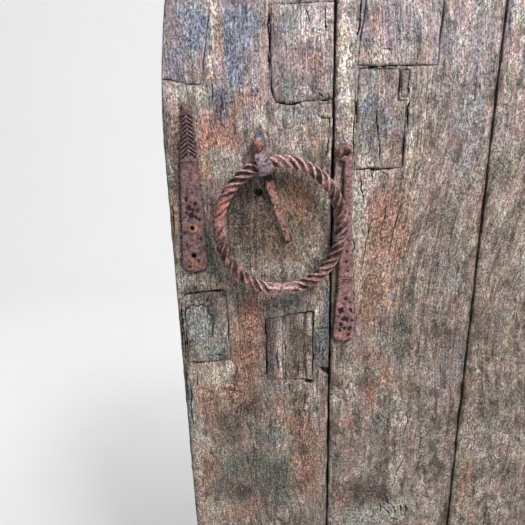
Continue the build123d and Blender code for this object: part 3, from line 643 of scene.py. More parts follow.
        (120, -395, 26, 30, 0.3), (120, -30, 34, 16, 0.5), (96, 20, 14, 34, 0.5), (121, -168, 6, 44, 0.8),
        (189, -170, 9, 26, 1), (197, -100, 4, 40, 0.8), (250, -445, 12, 20, 0.4),
        (107, -242, 11, 15, 0.5), (294, -181, 11, 19, 0.9), (270, -287, 7, 16, 1),
        (216, -346, 9, 14, 0.8), (272, -320, 14, 25, 0.5), (286, -274, 14, 21, 0.4),
        (228, -184, 9, 10, 0.6), (57, -173, 13, 10, 0.8), (42, -168, 13, 14, 0.6),
        (166, -450, 22, 19, 0.4), (202, -212, 4, 23, 0.6), (133, -360, 10, 17, 0.6),
    ],
}
stained_top, stained_bottom = 255, -475
plate_edges = [
    worn_loop(back_outline(plate), fine=2.0, coarse=2.0, wear=0.0, seed=1) + (-0.8, -0.8)
    for plate in ("chevron_plate", "curled_plate")
]


def wood_marks(x, height):
    """Stains (with painted shade and highlight among them), grain place, and painted light that changes with
    height, of the wood's front at each point.
    """
    level = height - handle_height
    marks = {}
    near = (x < worked_right) & (level < stained_top) & (level > stained_bottom)
    for number, (stain, spots) in enumerate(stains_and_painted_light.items()):
        amount = np.zeros(len(x))
        for middle_x, middle_z, wide, tall, strength in spots:
            away = ((x - middle_x) / (wide * 1.3)) ** 2 + ((level - middle_z) / (tall * 1.3)) ** 2
            amount = amount + strength * np.exp(-1.6 * away)
        drifting = weathering(x, height, 45, 130, 700 + number) * 0.9 - 0.35
        most = {"blue": 0.3, "pale": 0.4, "salmon": 0.55, "rust": 0.15, "faint": 0.0}.get(stain, 0.6)
        elsewhere = np.clip(drifting, 0, most)
        marks[stain] = np.where(near, np.minimum(amount, 1.2), elsewhere)
    # A dark rim on the wood round each iron plate: partly rust stain, partly painted shade where the plate
    # meets the wood.
    for plate_edge in plate_edges:
        close = np.flatnonzero((np.abs(x - plate_edge[:, 0].mean()) < 40) & near)
        gap = edge_gap(x[close], height[close], [plate_edge])
        marks["dark"][close] = np.maximum(marks["dark"][close], 0.95 * np.clip(1.3 - gap / 3.5, 0, 1))
    bend = weathering(x, height, 60, 190, 801) * 5
    slant = np.clip((x - gap_x) / 40, 0, 1) * np.clip(1 - np.abs(level) / 260, 0, 1) * 0.18
    low_down = np.clip((-150 - level) / 80, 0, 1) * np.clip((gap_x - x) / 30, 0, 1)
    bend = bend + low_down * (9 * weathering(x, height, 40, 75, 802) + 0.07 * (level + 150))
    marks["threaded"] = np.clip(0.75 + 0.5 * weathering(x, height, 50, 150, 803) + 0.2 * low_down, 0.3, 1.25)
    crumbled = np.clip((-180 - level) / 90, 0, 1) * np.clip((x - gap_x) / 20, 0, 1)
    marks["threaded"] = marks["threaded"] * (1 - 0.55 * crumbled)
    from_ring = np.hypot(x - handle_x, level) / 52
    marks["scuffed"] = np.clip((1.3 - from_ring) * 2.5, 0, 1) * np.clip((x - handle_x + 32) / 40, 0.15, 1)
    marks["across"] = (x + bend - slant * level) * mm
    marks["along"] = height * mm
    # Painted light: a level that rises from 0.8 at the foot to 1.5 a little above the handle and falls back
    # higher up.
    marks["bleached"] = np.interp(level, [-900, -450, 0, 120, 250, 450, 800],
                                  [0.8, 0.9, 1.0, 1.2, 1.5, 1.25, 1.12])
    return marks


def round_pocket(x, height, radius, seed, count):
    """Outline of a roughly round hole."""
    turn = np.linspace(0, 2 * math.pi, count, endpoint=False)
    reach = radius * (1 + 0.18 * lumps(turn * 3, turn * 0, 1.3, 1, seed))
    return np.column_stack([x + reach * np.cos(turn), height + reach * np.sin(turn)])


def wood_relief(inside_edge=None, edge_wear=0.0, rounding=1.0, sunk=0.0, seed=0):
    """Depth of a worn wooden face: raised grain, hollows, and corners rounded along its edges."""
    def depth(x, height, away):
        grain = 0.5 * np.maximum(weathering(x, height, 3.2, 60, 11 + seed), -0.4)
        waves = 0.7 * weathering(x, height, 26, 150, 12 + seed) + 0.5 * weathering(x, height, 9, 26, 13)
        lip = rounding * np.clip(1 - away / 3.2, 0, 1) ** 2
        total = sunk + 1.0 + grain * 0.8 + waves * 0.55 + lip
        if inside_edge is not None:
            worn = np.clip(edge_wear - inside_edge(x, height), 0, edge_wear)
            total = total + edge_wear - np.sqrt(edge_wear ** 2 - worn ** 2 * 0.98)
        return np.maximum(total, -0.4)
    return depth


closing_loop = back_outline("closing_plank")
left_side = closing_loop[closing_loop[:, 0] < gap_x - 0.5]
left_side = left_side[np.argsort(left_side[:, 1])]


def from_closing_edge(x, height):
    """Distance of each point from the board's outer long side."""
    return x - np.interp(height, left_side[:, 1], left_side[:, 0])


def groove_in(sides):
    """Side rows of a board with a groove for the loose tongue in the named sides (-1, 1)."""
    def inset(normal):
        return 16.0 if abs(normal[0]) > 0.95 and np.sign(normal[0]) in sides else 0.0
    return [(22.1, 0.0), (22.1, inset), (32.9, inset), (32.9, 0.0)]


# Cracks are (points (from the closing edge, above the handle's middle), width, depth).
closing_cracks = [
    ([(133, 143.2), (146, 142), (158, 141.6), (165.5, 143)], 4, 8),
    ([(165, 143.4), (180, 144.8), (196, 145)], 1.8, 5),
    ([(128, 238), (127.6, 205), (128.2, 172)], 1.3, 6),
    ([(128.6, 172), (130.5, 150), (134, 144)], 1.2, 5),
    ([(6.6, -97), (5.6, -130), (6.2, -184)], 2.4, 6),
    ([(3.8, -128), (3.6, -150), (4, -168)], 3.2, 7),
    ([(10, -86.6), (22, -84.4), (34, -83.6), (48, -82.6), (61, -80.4)], 1.5, 4),
    ([(9, -186.4), (30, -184.6), (60, -182.2)], 1.3, 4),
    ([(115.4, -126), (115.4, -170), (115, -213)], 1.3, 4),
    ([(179.4, -118), (179, -160), (178.6, -205)], 1.7, 5),
    ([(150, -216), (162, -215.6), (174, -214.8)], 2, 6),
    ([(0.5, 174.6), (14, 172.4), (30, 166.4), (45, 164.4)], 1.3, 4),
    ([(26.6, -101.2), (36.2, -100.4)], 1.6, 3),
    ([(168.8, -223.9), (167.2, -244.2), (166.1, -262.4), (169.5, -273.1)], 1.2, 3),
    ([(20.4, -189.2), (19.9, -206.5), (18.1, -222)], 0.9, 2),
    ([(65.2, 248.3), (63.7, 236), (61.5, 217.1)], 0.5, 0.8),
    ([(74.7, 235.7), (73.2, 216.8), (71.6, 200.7)], 0.4, 0.9),
    ([(75.5, 195.7), (75.3, 175.9), (74, 157.3)], 0.4, 0.9),
    ([(62.3, 171.2), (62.4, 157.6), (60.6, 143.9)], 0.8, 2),
    ([(71.6, 157.3), (71.7, 143.6), (70.6, 129.6)], 0.8, 2),
    ([(9.4, -218.7), (9, -239.1), (8.4, -262.4), (7.6, -289)], 1.4, 3),
    ([(80.3, -182.5), (89.3, -177.9), (98.2, -174.6)], 1, 2),
    ([(87.6, -137.5), (95.3, -134.3), (101.7, -133.3)], 0.9, 2),
    ([(195.4, 104.6), (194.6, 90.1), (191.5, 79.1)], 1, 2),
    ([(196.4, 136.7), (196.6, 115.5)], 1, 2),
    ([(182.4, 130.1), (186.2, 125), (193.7, 123.6)], 1.2, 2.5),
    ([(7.3, 42.7), (5.9, 13.1), (4.7, -11.2)], 1, 2),
    ([(4.5, -190.3), (4.2, -211), (4.6, -236.3)], 1.3, 3),
]
second_cracks = [
    ([(226, 182), (244, 179), (268, 177.6), (290, 177.4)], 1.9, 5),
    ([(226, 65.2), (250, 65), (281, 65.6)], 1.3, 4),
    ([(225.6, 205), (229, 230), (231, 252)], 1.3, 4),
    ([(225.8, 160), (225.4, 120), (225.6, 80)], 1, 3),
    ([(286.8, 174), (287.2, 150)], 2, 5),
    ([(276.4, 176), (276.4, 150)], 1.8, 5),
    ([(234.6, 57.4), (236.2, 42), (240.7, 26.2)], 1.2, 2.5),
    ([(248, 62.7), (249.6, 54.1)], 1.2, 2.5),
    ([(227.2, -17.8), (231.1, -27.2), (228.8, -38.7)], 1.2, 2.5),
    ([(288.6, 143.1), (287.5, 127.3), (289.7, 109.4)], 1.3, 3),
    ([(259.7, 62.4), (267.8, 56.5)], 1, 2),
    ([(297.5, -406.6), (303.1, -377.4), (313.3, -349.1)], 1, 1.5),
    ([(270.9, 35.1), (264.8, -0.5), (260.1, -27)], 0.8, 1.5),
    ([(250.3, 10), (243.9, -30.7), (239, -64.6)], 0.8, 1.5),
    ([(285.4, 24.9), (277.7, -15.1), (273.4, -48.5)], 0.8, 1.5),
    ([(312.8, -251.6), (313.4, -285.8), (310.8, -310.1)], 0.9, 2),
    ([(287.8, -416), (293.1, -430.7), (298.8, -434.3)], 3.2, 6),
    ([(287, -437.7), (292.9, -444.4), (299, -455.9)], 3.4, 6),
    ([(299.2, -460.9), (308.7, -459)], 3, 5), ([(312.9, -434.2), (314.2, -448)], 2.8, 5),
    ([(273.6, -445.2), (269.3, -457.3)], 2.6, 5), ([(260, -450), (266, -457)], 2.6, 5),
    ([(321, -434), (324, -446), (320, -456)], 2.6, 5),
    ([(299, -434.6), (304, -441), (306, -450)], 2.2, 4),
    ([(279, -430), (284, -437), (283, -447)], 2, 4),
]


def on_handle_level(cracks):
    return [([(x, z + handle_height) for x, z in path], wide, deep) for path, wide, deep in cracks]


def drying_cracks(loop, count, seed):
    """Short cracks along the grain at random places of a board, away from its mended part."""
    low, high = loop.min(0), loop.max(0)
    cracks = []
    for number in range(count):
        x = low[0] + 12 + (high[0] - low[0] - 24) * chance(number, 1, seed)
        start = low[1] + 20 + (high[1] - low[1] - 250) * chance(number, 2, seed)
        length = 25 + 110 * chance(number, 3, seed) ** 2
        lean = 0.04 * (chance(number, 4, seed) - 0.5)
        if fine_zone(x, start) or fine_zone(x, start + length):
            continue
        path = [(x + lean * t * length, start + t * length) for t in (0, 0.3, 0.6, 1)]
        cracks.append((path, 0.4 + 0.5 * chance(number, 5, seed), 0.6 + 0.6 * chance(number, 6, seed)))
    return cracks


closing_repairs = [
    "top_left_patch", "top_centre_patch", "edge_block", "lower_left_patch", "lower_centre_strip_left",
    "lower_centre_strip_middle", "lower_centre_strip_right", "lower_side_block",
]
second_repairs = ["right_upper_patch", "right_patch", "right_sliver"]
broken_corners = [
    [(gap_x - 12, -197), (gap_x - 9, -203), (gap_x - 5, -207), (gap_x + 1.2, -212), (gap_x + 1.2, -197)],
    [(gap_x - 34, -219), (gap_x - 24, -222.5), (gap_x - 20, -217), (gap_x - 30, -215)],
]
eyelet_x, eyelet_z = 29.0, handle_height + 0.9
lost_nail_x, lost_nail_z = 28.0, handle_height - 33.9
# Old holes are (from the closing edge, above the foot, radius, seed, points round them).
old_holes = [
    (eyelet_x, eyelet_z, 4.0, 3, 14), (lost_nail_x, lost_nail_z, 3.0, 4, 14),
    (112.0, handle_height + 42, 4.2, 5, 20), (148.0, handle_height - 18.0, 2.6, 6, 14),
]
for number, (node, piece_name, repairs, cracks, sides) in enumerate((
    ("closing_plank", "closing_board", closing_repairs, closing_cracks, (1,)),
    ("second_plank", "second_board", second_repairs, second_cracks, (-1, 1)),
    ("middle_plank", "middle_board", [], [], (-1, 1)),
    ("fourth_plank", "fourth_board", [], [], (-1, 1)),
    ("hanging_plank", "hanging_board", [], [], (-1,)),
)):
    seed = 40 + 7 * number
    outline = worn_loop(back_outline(node), fine=1.8, coarse=6.0, wear=0.7, seed=seed)
    pockets = [worn_loop(back_outline(name), fine=1.6, coarse=6.0, wear=0.4, seed=seed + 1, grow=0.1)
               for name in repairs]
    if node == "closing_plank":
        pockets += [
            worn_loop(leftwards(np.array(corner, float) + (0, handle_height)),
                      fine=1.6, coarse=1.6, wear=0.5, seed=seed + 2)
            for corner in broken_corners
        ]
        pockets += [round_pocket(*hole) for hole in old_holes]
        relief = wood_relief(from_closing_edge, edge_wear=7.0, rounding=1.4, seed=seed)
    else:
        relief = wood_relief(rounding=1.6, seed=seed)
    board = weathered_slab(
        piece_name, board_oak, outline, board_thickness, relief, fine=1.6, coarse=6.0,
        marks=wood_marks, pockets=pockets, rows=groove_in(sides),
        cracks=on_handle_level(cracks) + drying_cracks(outline, count=16, seed=seed + 3),
    )
    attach(board, "leaf")
    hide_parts(node)

# The repair pieces. Oak blocks and strips are let flush into pockets of the first two boards where
# the wood had rotted. Each was cut by hand, so its joints are uneven and have gone black.
patch_oak = weathered_wood("repair_oak", [
    (0.32, "554b45"), (0.43, "746962"), (0.5, "887e79"), (0.58, "938987"), (0.7, "a89b94"),
], lift=1.045)
patch_thickness = pocket_depth - 0.4
repair_cracks = {
    "top_centre_patch": [
        ([(189.4, 241.3), (190.5, 229.6), (191.5, 215.3)], 1.2, 3),
        ([(167.5, 238), (171, 231.7), (173.7, 223.7)], 1, 2),
        ([(183.1, 154.4), (185.1, 149.4), (190.5, 148)], 1.3, 3),
        ([(134, 237.3), (133.1, 218.4), (135.5, 202.3)], 0.5, 1),
    ],
    "right_patch": [([(249.7, 139), (251.6, 128.2), (254.1, 99.5), (257.9, 69.9)], 1.1, 3)],
    "right_upper_patch": [([(254, 196), (260.3, 196.4), (265.9, 194)], 1, 2)],
    "lower_left_patch": [
        ([(8.6, -106.5), (12.1, -107.6), (17, -103.7)], 2.6, 6),
        ([(17, -103.7), (21.8, -101), (27.8, -103.2), (32.5, -101.7), (36.4, -101)], 1.6, 4),
        ([(36.4, -101), (39.9, -106), (41, -112.6), (43.9, -116), (47.7, -116.1)], 2.2, 5),
        ([(48.9, -122.8), (46.1, -130.3), (44.6, -142), (41.9, -147.9)], 1.3, 3),
        ([(42.5, -89.5), (41.6, -96), (37.5, -100)], 1.9, 5),
        ([(34.4, -99.8), (38.6, -103.2)], 3.6, 7), ([(60, -86), (64.5, -92), (66, -97)], 1.6, 4),
        ([(34.6, -175), (52.2, -173.1), (60.8, -177)], 1.1, 2),
    ],
    "lower_centre_strip_left": [([(130.2, -163.6), (130.4, -190.2), (130.9, -210.1)], 1, 2)],
    "lower_centre_strip_middle": [
        ([(159.1, -183.8), (158.6, -198.5), (158.1, -211.4)], 1.3, 3),
        ([(148.9, -122.6), (146.5, -142.7)], 0.8, 1.5),
    ],
}
for number, node in enumerate(closing_repairs + second_repairs):
    loop = worn_loop(back_outline(node), fine=1.3, coarse=4.0, wear=0.3, seed=90 + number, grow=-0.15)
    sunk = 0.9 * chance(number, 1, 77) - 0.2
    if node == "top_left_patch":
        relief = wood_relief(from_closing_edge, edge_wear=7.0, rounding=1.1, sunk=sunk, seed=60)
    else:
        relief = wood_relief(rounding=1.1, sunk=sunk, seed=60 + number)
    patch = weathered_slab(
        "repair_" + node, patch_oak, loop, patch_thickness, relief, fine=1.4, coarse=4.0,
        marks=wood_marks, cracks=on_handle_level(repair_cracks.get(node, [])),
    )
    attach(patch, "leaf")
    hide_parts(node)

# The loose tongues. Thin oak strips lie in the grooves between the boards and close the gaps
# against draughts. Only their edges show, deep in the gaps.
# Painted shade: the tongues' oak is given a very dark tone, standing in for the shade deep in the narrow
# gaps.
shade_oak = Finish("tongue_oak", roughness=0.9, specular=0.2)
grain_place = shade_oak.step("Mapping", {0: shade_oak.place(), 3: (300.0, 300.0, 12.0)})
tongue_grain = shade_oak.noise(grain_place, 1.0, 4.0)
for number in range(1, 5):
    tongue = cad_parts[f"loose_tongue_{number}"]
    tongue.data.materials.clear()
    if number == 1:
        shade_oak.finish(shade_oak.tones(tongue_grain, (0.35, "2a211c"), (0.7, "5a4a40")),
                         shade_oak.rise(tongue_grain, 0.3, 0.7, 0.95, 0.8), tongue_grain, 0.0008)
    tongue.data.materials.append(shade_oak.material)

# The chevron plate. A long bar of wrought iron was forged thin and nailed on near the closing
# edge, wide at its foot and narrow at its top, where a ladder of chisel cuts crosses it. Rust has
# pitted it and eaten its edges.


def rusted_iron(name, tones, orange=0.5, violet=0.3, specular=0.3):
    """Rusted iron: brown scale with spots of fresh orange rust, violet scale, pale worn iron and dark pits;
    on the ring and its strap these marks also carry painted highlight and shade.
    """
    iron = Finish(name, roughness=0.8, specular=specular)
    place = iron.place()
    cloud = iron.noise(place, 90.0, 6.0, 0.72)
    scale = iron.noise(place, 300.0, 5.0, 0.75)
    crumb = iron.noise(place, 620.0, 4.0, 0.8)
    elsewhere = iron.step("VectorMath", {0: place, 1: (3.1, 1.7, 2.3)})
    spots = iron.noise(elsewhere, 120.0, 4.0, 0.7)
    pocks = iron.noise(elsewhere, 380.0, 3.0, 0.6)
    colour = iron.tones(cloud, *tones)
    colour = iron.blend(iron.rise(scale, 0.5, 0.66) * violet, colour, "8a7b8a")
    fresh = spots + iron.mark("fresh") * 0.35 + scale * 0.25
    colour = iron.blend(iron.rise(fresh, 0.68, 0.84) * orange, colour, "b06c4c")
    # Pale worn iron; on the ring this also paints highlight at its top and bottom.
    worn = iron.mark("worn") * iron.rise(scale, 0.3, 0.62, 0.5, 1.15)
    colour = iron.blend(iron.rise(worn, 0.15, 1.2) * 0.85, colour, "d6b7b0")
    shade = iron.rise(crumb, 0.32, 0.66, 0.5, 1.5) * iron.rise(scale, 0.36, 0.62, 0.7, 1.3)
    colour = iron.blend(1.0, colour, iron.step("CombineColor", {0: shade, 1: shade, 2: shade}), "MULTIPLY")
    colour = iron.blend(iron.rise(pocks, 0.42, 0.3) * 0.85, colour, "2a1b1b")
    # Dark pits; on the ring and its strap this also paints shade on the ring's sides and behind its bar.
    pits = iron.mark("pitted") * iron.rise(crumb, 0.3, 0.7, 0.6, 1.3)
    colour = iron.blend(iron.rise(pits, 0.1, 0.9), colour, "281a1a")
    colour = iron.blend(iron.mark("joint") * 0.4, colour, "33211f")
    relief = scale * 0.7 + crumb * 0.5 - iron.rise(pocks, 0.42, 0.3) * 0.5
    return iron.finish(colour, iron.rise(crumb, 0.3, 0.7, 0.62, 0.9), relief, 0.0014)


plate_rust = rusted_iron("plate_rust", [
    (0.3, "4a3736"), (0.45, "6b5252"), (0.56, "7f6465"), (0.68, "967879"),
], orange=0.3, violet=0.3)


def in_front(thickness):
    """Place on the door for a piece whose front stands out from the wood by its thickness."""
    return lambda x, depth, height: on_door(x, np.asarray(depth) - thickness, height)


def forged_relief(bevel, seed, extra=None):
    """Depth of a forged face: hammer hollows, rust pits and edges worn down over the bevel."""
    def depth(x, height, away):
        hollows = 0.35 * weathering(x, height, 13, 17, seed) + 0.16 * weathering(x, height, 3, 3.4, seed + 1)
        total = 0.25 + hollows + bevel * np.clip(1 - away / (bevel * 1.9), 0, 1) ** 1.6
        return total + (extra(x, height) if extra else 0)
    return depth


def pit_depth(x, height, pits):
    """Depth of rust pits given as (x, height, radius, depth)."""
    total = np.zeros(len(x))
    for px, pz, radius, deep in pits:
        away = np.hypot((x - px), (height - pz) * 0.85) / radius
        away = away + 0.45 * weathering(x, height, 3.0, 3.0, int(px * 7 + pz), 2)
        total = np.maximum(total, deep * np.clip(1.35 - away, 0, 1))
    return total


def iron_marks(pits, fresh, cuts=None, struck=(0, 0)):
    """Dark pits and fresh rust of an iron face, and bare iron where cuts are struck in it."""
    def marks(x, height):
        spots = np.zeros(len(x))
        for fx, fz, radius, strength in fresh:
            spots = np.maximum(spots, strength * np.clip(1.4 - np.hypot(x - fx, height - fz) / radius, 0, 1))
        cut = cuts(x, height) / 1.4 if cuts else 0
        rubbed_bare = 0.45 * np.clip(weathering(x, height, 9, 13, 155) - 0.25, 0, 1)
        in_cuts = (height - handle_height > struck[0]) & (height - handle_height < struck[1])
        rubbed_bare = rubbed_bare + 0.15 * in_cuts * np.clip(1 - cut, 0, 1)
        return {"fresh": spots, "worn": np.clip(rubbed_bare, 0, 1),
                "pitted": np.clip(pit_depth(x, height, pits) / 1.3 + cut, 0, 1)}
    return marks


chevron_thickness = 4.2
chevron_top_x, chevron_pitch, chevron_slope = 30.9, 4.7, math.radians(38)
ladder_low, ladder_high = 80, 137
chevron_pits = [
    (24, 82, 2.2, 1.4), (29, 79, 1.8, 1.2), (34, 76, 2.4, 1.5), (26, 72, 2.8, 1.6), (31, 69, 2, 1.3),
    (36, 68, 2.3, 1.4), (23, 66, 2, 1.3), (28, 62, 3, 1.7), (34, 60, 2.4, 1.4), (38, 57, 2, 1.2),
    (25, 56, 1.9, 1.2), (19, 41, 2.1, 1), (38, 33, 2.2, 1.1), (17, 20, 2, 1), (36, 22, 1.8, 1),
    (31, 90, 1.6, 0.9), (25, 95, 1.5, 0.8), (34, 5, 2, 1), (22, -2, 2.2, 1),
]
chevron_pits = [(x, z - 46 + handle_height, r * 1.1, d) for x, z, r, d in chevron_pits]


def chisel_cuts(x, height):
    """Depth of the ten cuts, each an upturned V across the plate's top."""
    total = np.zeros(len(x))
    for cut in range(10):
        apex = handle_height + 133 - cut * chevron_pitch
        aside = np.abs(x - chevron_top_x)
        line = apex - aside * math.tan(chevron_slope)
        away = np.abs(height - line) * math.cos(chevron_slope)
        groove = np.clip(1.25 - away / 1.5, 0, 1) * np.clip((11 - aside) / 2, 0, 1)
        groove = groove * np.clip(0.35 + aside / 2.2, 0, 1)
        total = np.maximum(total, 2.4 * groove)
    ladder = (height > handle_height + ladder_low) & (height < handle_height + ladder_high)
    return total - np.where(ladder, 0.9, 0.0)


def chevron_extra(x, height):
    """Pits, cuts and the turned-up lip at the foot of the chevron plate."""
    level = height - handle_height
    lip = 1.0 * np.clip(1 - np.abs(level + 46 + 0.04 * (x - 28) ** 2) / 3.0, 0, 1)
    return pit_depth(x, height, chevron_pits) + chisel_cuts(x, height) - 0.9 * lip


loop = worn_loop(back_outline("chevron_plate"), fine=1.0, coarse=1.0, wear=0.45, seed=130)
holes = [round_pocket(eyelet_x, eyelet_z, radius=3.9, seed=7, count=20),
         round_pocket(lost_nail_x, lost_nail_z, radius=3.0, seed=8, count=18)]
chevron_plate = weathered_slab(
    "chevron_plate_forged", plate_rust, loop, chevron_thickness - 0.1,
    forged_relief(bevel=1.3, seed=131, extra=chevron_extra), fine=1.0, coarse=1.0, marks=iron_marks(
        chevron_pits, [(28, handle_height - 44, 9, 0.9), (29, handle_height, 8, 0.8)],
        chisel_cuts, (ladder_low, ladder_high),
    ),
    holes=holes, place=in_front(chevron_thickness),
)
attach(chevron_plate, "leaf")
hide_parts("chevron_plate")

# The curled plate. A narrower forged strip is nailed beside the gap on the second board. Its top
# was drawn out and curled into a small eye, and six grooves are filed across its lower part.
curled_thickness = 4.0
curl_x, curl_z = 215.0, handle_height + 85.1
curled_pits = [
    (220, -50, 2.4, 1.3), (214, -68, 2.6, 1.5), (227, -67, 2, 1.3), (218, -79, 2.8, 1.6),
    (223, -80, 1.8, 1.2), (215, -87, 2.4, 1.4), (213, -95, 1.8, 1.3), (226, -92, 2.6, 1.5),
    (224, -102, 2.2, 1.3), (220, -92, 2, 1.3), (229, -81, 1.8, 1), (211, -76, 1.7, 1),
    (221, 59, 1.6, 1), (223, 25, 1.5, 0.9), (220, 12, 1.6, 1), (219, -1, 1.8, 1.1),
    (221, -14, 1.7, 1), (217, 38, 1.4, 0.8), (222, 78, 1.4, 0.8), (219, 91, 1.3, 0.8),
    (217, -58, 1.7, 0.9), (225, -56, 1.5, 0.9),
]
curled_pits = [
    (x, z - 46 + handle_height, r * (1.35 if z < -60 else 1.1), d * 1.15) for x, z, r, d in curled_pits
]


def filed_grooves(x, height):
    """Depth of the six grooves filed across the plate above its foot."""
    total = np.zeros(len(x))
    for cut in range(6):
        line = handle_height - 68 - cut * 3.2 - 0.10 * (x - 219)
        line = line + 0.9 * lumps(x, x * 0 + cut, 6, 1.3, 145)
        total = np.maximum(total, 1.5 * np.clip(1.1 - np.abs(height - line) / 1.1, 0, 1))
    return total * np.clip(0.6 + 0.5 * lumps(x, height, 7, 5, 146), 0.1, 1)


def curled_extra(x, height):
    """Pits, grooves, the curled eye and the lip at the foot of the curled plate."""
    level = height - handle_height
    away = np.hypot(x - curl_x, height - curl_z)
    scroll = -2.4 * np.exp(-((away - 6.2) / 2.4) ** 2) * np.clip((curl_z + 4 - height) / -6 + 1.6, 0, 1)
    cross = 0.7 * np.clip(1 - np.abs(level - 45) / 1.2, 0, 1)
    lip = 1.0 * np.clip(1 - np.abs(level + 149 + 0.04 * (x - 219) ** 2) / 3.0, 0, 1)
    return pit_depth(x, height, curled_pits) + scroll + filed_grooves(x, height) + cross - 0.9 * lip


loop = worn_loop(back_outline("curled_plate"), fine=1.0, coarse=1.0, wear=0.44, seed=140)
loop = loop - outward(loop) * np.clip(lumps(loop[:, 0], loop[:, 1], 40, 6, 147) - 0.25, 0, 1)[:, None] * 2.2
curled_rust = rusted_iron("curled_rust", [
    (0.3, "5b403f"), (0.45, "80605f"), (0.56, "977373"), (0.68, "b08a89"),
], orange=0.3, violet=0.2)
curled_plate = weathered_slab(
    "curled_plate_forged", curled_rust, loop, curled_thickness - 0.1,
    forged_relief(bevel=1.2, seed=141, extra=curled_extra), fine=0.95, coarse=0.95, marks=iron_marks(
        curled_pits, [(219, handle_height - 148, 8, 0.7), (208, curl_z, 6, 0.6)],
        filed_grooves, (-88, -66),
    ),
    holes=[round_pocket(curl_x + 1.5, curl_z, radius=3.3, seed=9, count=18)],
    place=in_front(curled_thickness),
)
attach(curled_plate, "leaf")
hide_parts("curled_plate")

# The small fastenings of the plates. Hand-made nails with low hammered heads hold both plates, and
# a hollow rivet with a rolled rim, rusted bright orange, stands in the lower half of the first.
orange_rust = rusted_iron("orange_rust", [
    (0.3, "5c413d"), (0.45, "8a6057"), (0.56, "a3756a"), (0.7, "bd9083"),
], orange=0.35, violet=0.1)


def turned(profile, count, seed, knock):
    """Points and faces turned from (radius, depth) points, knocked out of round as hammered iron is."""
    verts, faces = [], []
    for row, (radius, deep) in enumerate(profile):
        for i in range(count):
            turn = 2 * math.pi * i / count
            flat = 1 + knock * float(lumps(turn * 1.6, row * 0.0, 1.0, 1.0, seed))
            dent = knock * radius * 0.35 * float(lumps(turn * 2.2, row * 0.9, 1.0, 1.0, seed + 3))
            verts.append((radius * flat * math.cos(turn), deep + dent, radius * flat * math.sin(turn)))
            if row:
                j = (i + 1) % count
                faces.append((row * count + i, row * count + j, (row - 1) * count + j, (row - 1) * count + i))
    return np.array(verts), faces


def nail_heads(name, material, places, radius, tall, shank, length, face, seed, knock=0.13):
    """Piece of several nails: low hammered heads on square shanks that end in the wood."""
    profile = [(0.02, -tall), (radius * 0.35, -tall * 0.97), (radius * 0.7, -tall * 0.72),
               (radius * 0.94, -tall * 0.34), (radius, -0.05), (radius * 0.9, 0.15),
               (shank * 0.6, 0.3), (shank * 0.5, length * 0.4), (shank * 0.12, length)]
    count = 32
    verts, faces = [], []
    for number, (x, z) in enumerate(places):
        points, quads = turned(profile, count, seed + number * 5, knock)
        quads.append(tuple(range(count)))
        quads.append(tuple(reversed(range((len(profile) - 1) * count, len(profile) * count))))
        faces += [tuple(number * len(points) + v for v in q) for q in quads]
        verts.append(points + (x, face, z))
    verts = np.concatenate(verts)
    return make_piece(name, material, on_door(*verts.T), faces, {}, crisp_angle=50)


chevron_foot, chevron_length = handle_height - 55, 199
curled_foot, curled_length = handle_height - 157, 235
for piece_name, node, rust, places, tall, thickness in (
    ("chevron_nail_heads", "chevron_plate_nails", plate_rust,
     [(30.88, chevron_foot + 0.975 * chevron_length), (24.0, chevron_foot + 0.186 * chevron_length)],
     2.3, chevron_thickness),
    ("curled_nail_heads", "curled_plate_nails", curled_rust,
     [(218.44, curled_foot + 0.928 * curled_length), (220.4, curled_foot + 0.208 * curled_length)],
     1.3, curled_thickness),
):
    nails = nail_heads(piece_name, rust, places, radius=3.5, tall=tall, shank=3.4, length=18.0,
                       face=0.3 - thickness, seed=11)
    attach(nails, "leaf")
    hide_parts(node)

rim = [(2.5, 12.0), (2.5, -1.4), (3.0, -2.2), (4.2, -2.6), (5.6, -2.3), (6.4, -1.4), (6.5, -0.4), (6.2, 0.1),
       (3.8, 0.3), (3.7, 12.0), (2.5, 12.0)]
points, quads = turned(rim, count=40, seed=21, knock=0.05)
eyelet = make_piece("eyelet_rim", orange_rust, on_door(
    eyelet_x + points[:, 0], points[:, 1] - chevron_thickness + 0.2, eyelet_z + points[:, 2]
), quads, {}, crisp_angle=180)
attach(eyelet, "leaf")
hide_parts("plate_eyelet")

# The ring's fixing. A strip of wrought iron is nailed on above the ring over a pointed back plate,
# is bent out over the bar in a band, and runs down as a thin tongue whose point is driven into
# the wood. It stays still while the ring swings in it.
ring_half_width, ring_half_height, ring_bar, ring_plane = 74.3, 77.6, 12.0, 13.385
bar_reach = ring_bar / math.sqrt(2)
eye_turn = math.radians(104.0)
eye_x = handle_x + ring_half_width * math.cos(eye_turn)
eye_z = handle_height + ring_half_height * math.sin(eye_turn)
eye_lean = math.atan2(-ring_half_height * math.cos(eye_turn), ring_half_width * math.sin(eye_turn))


def at_eye(front=0.0):
    """Place on the door for points measured across and along the strap from the ring's eye."""
    def place(across, depth, along):
        across, along = np.asarray(across), np.asarray(along)
        return on_door(eye_x + across * math.cos(eye_lean) - along * math.sin(eye_lean),
                       np.asarray(depth) - front,
                       eye_z + across * math.sin(eye_lean) + along * math.cos(eye_lean))
    return place


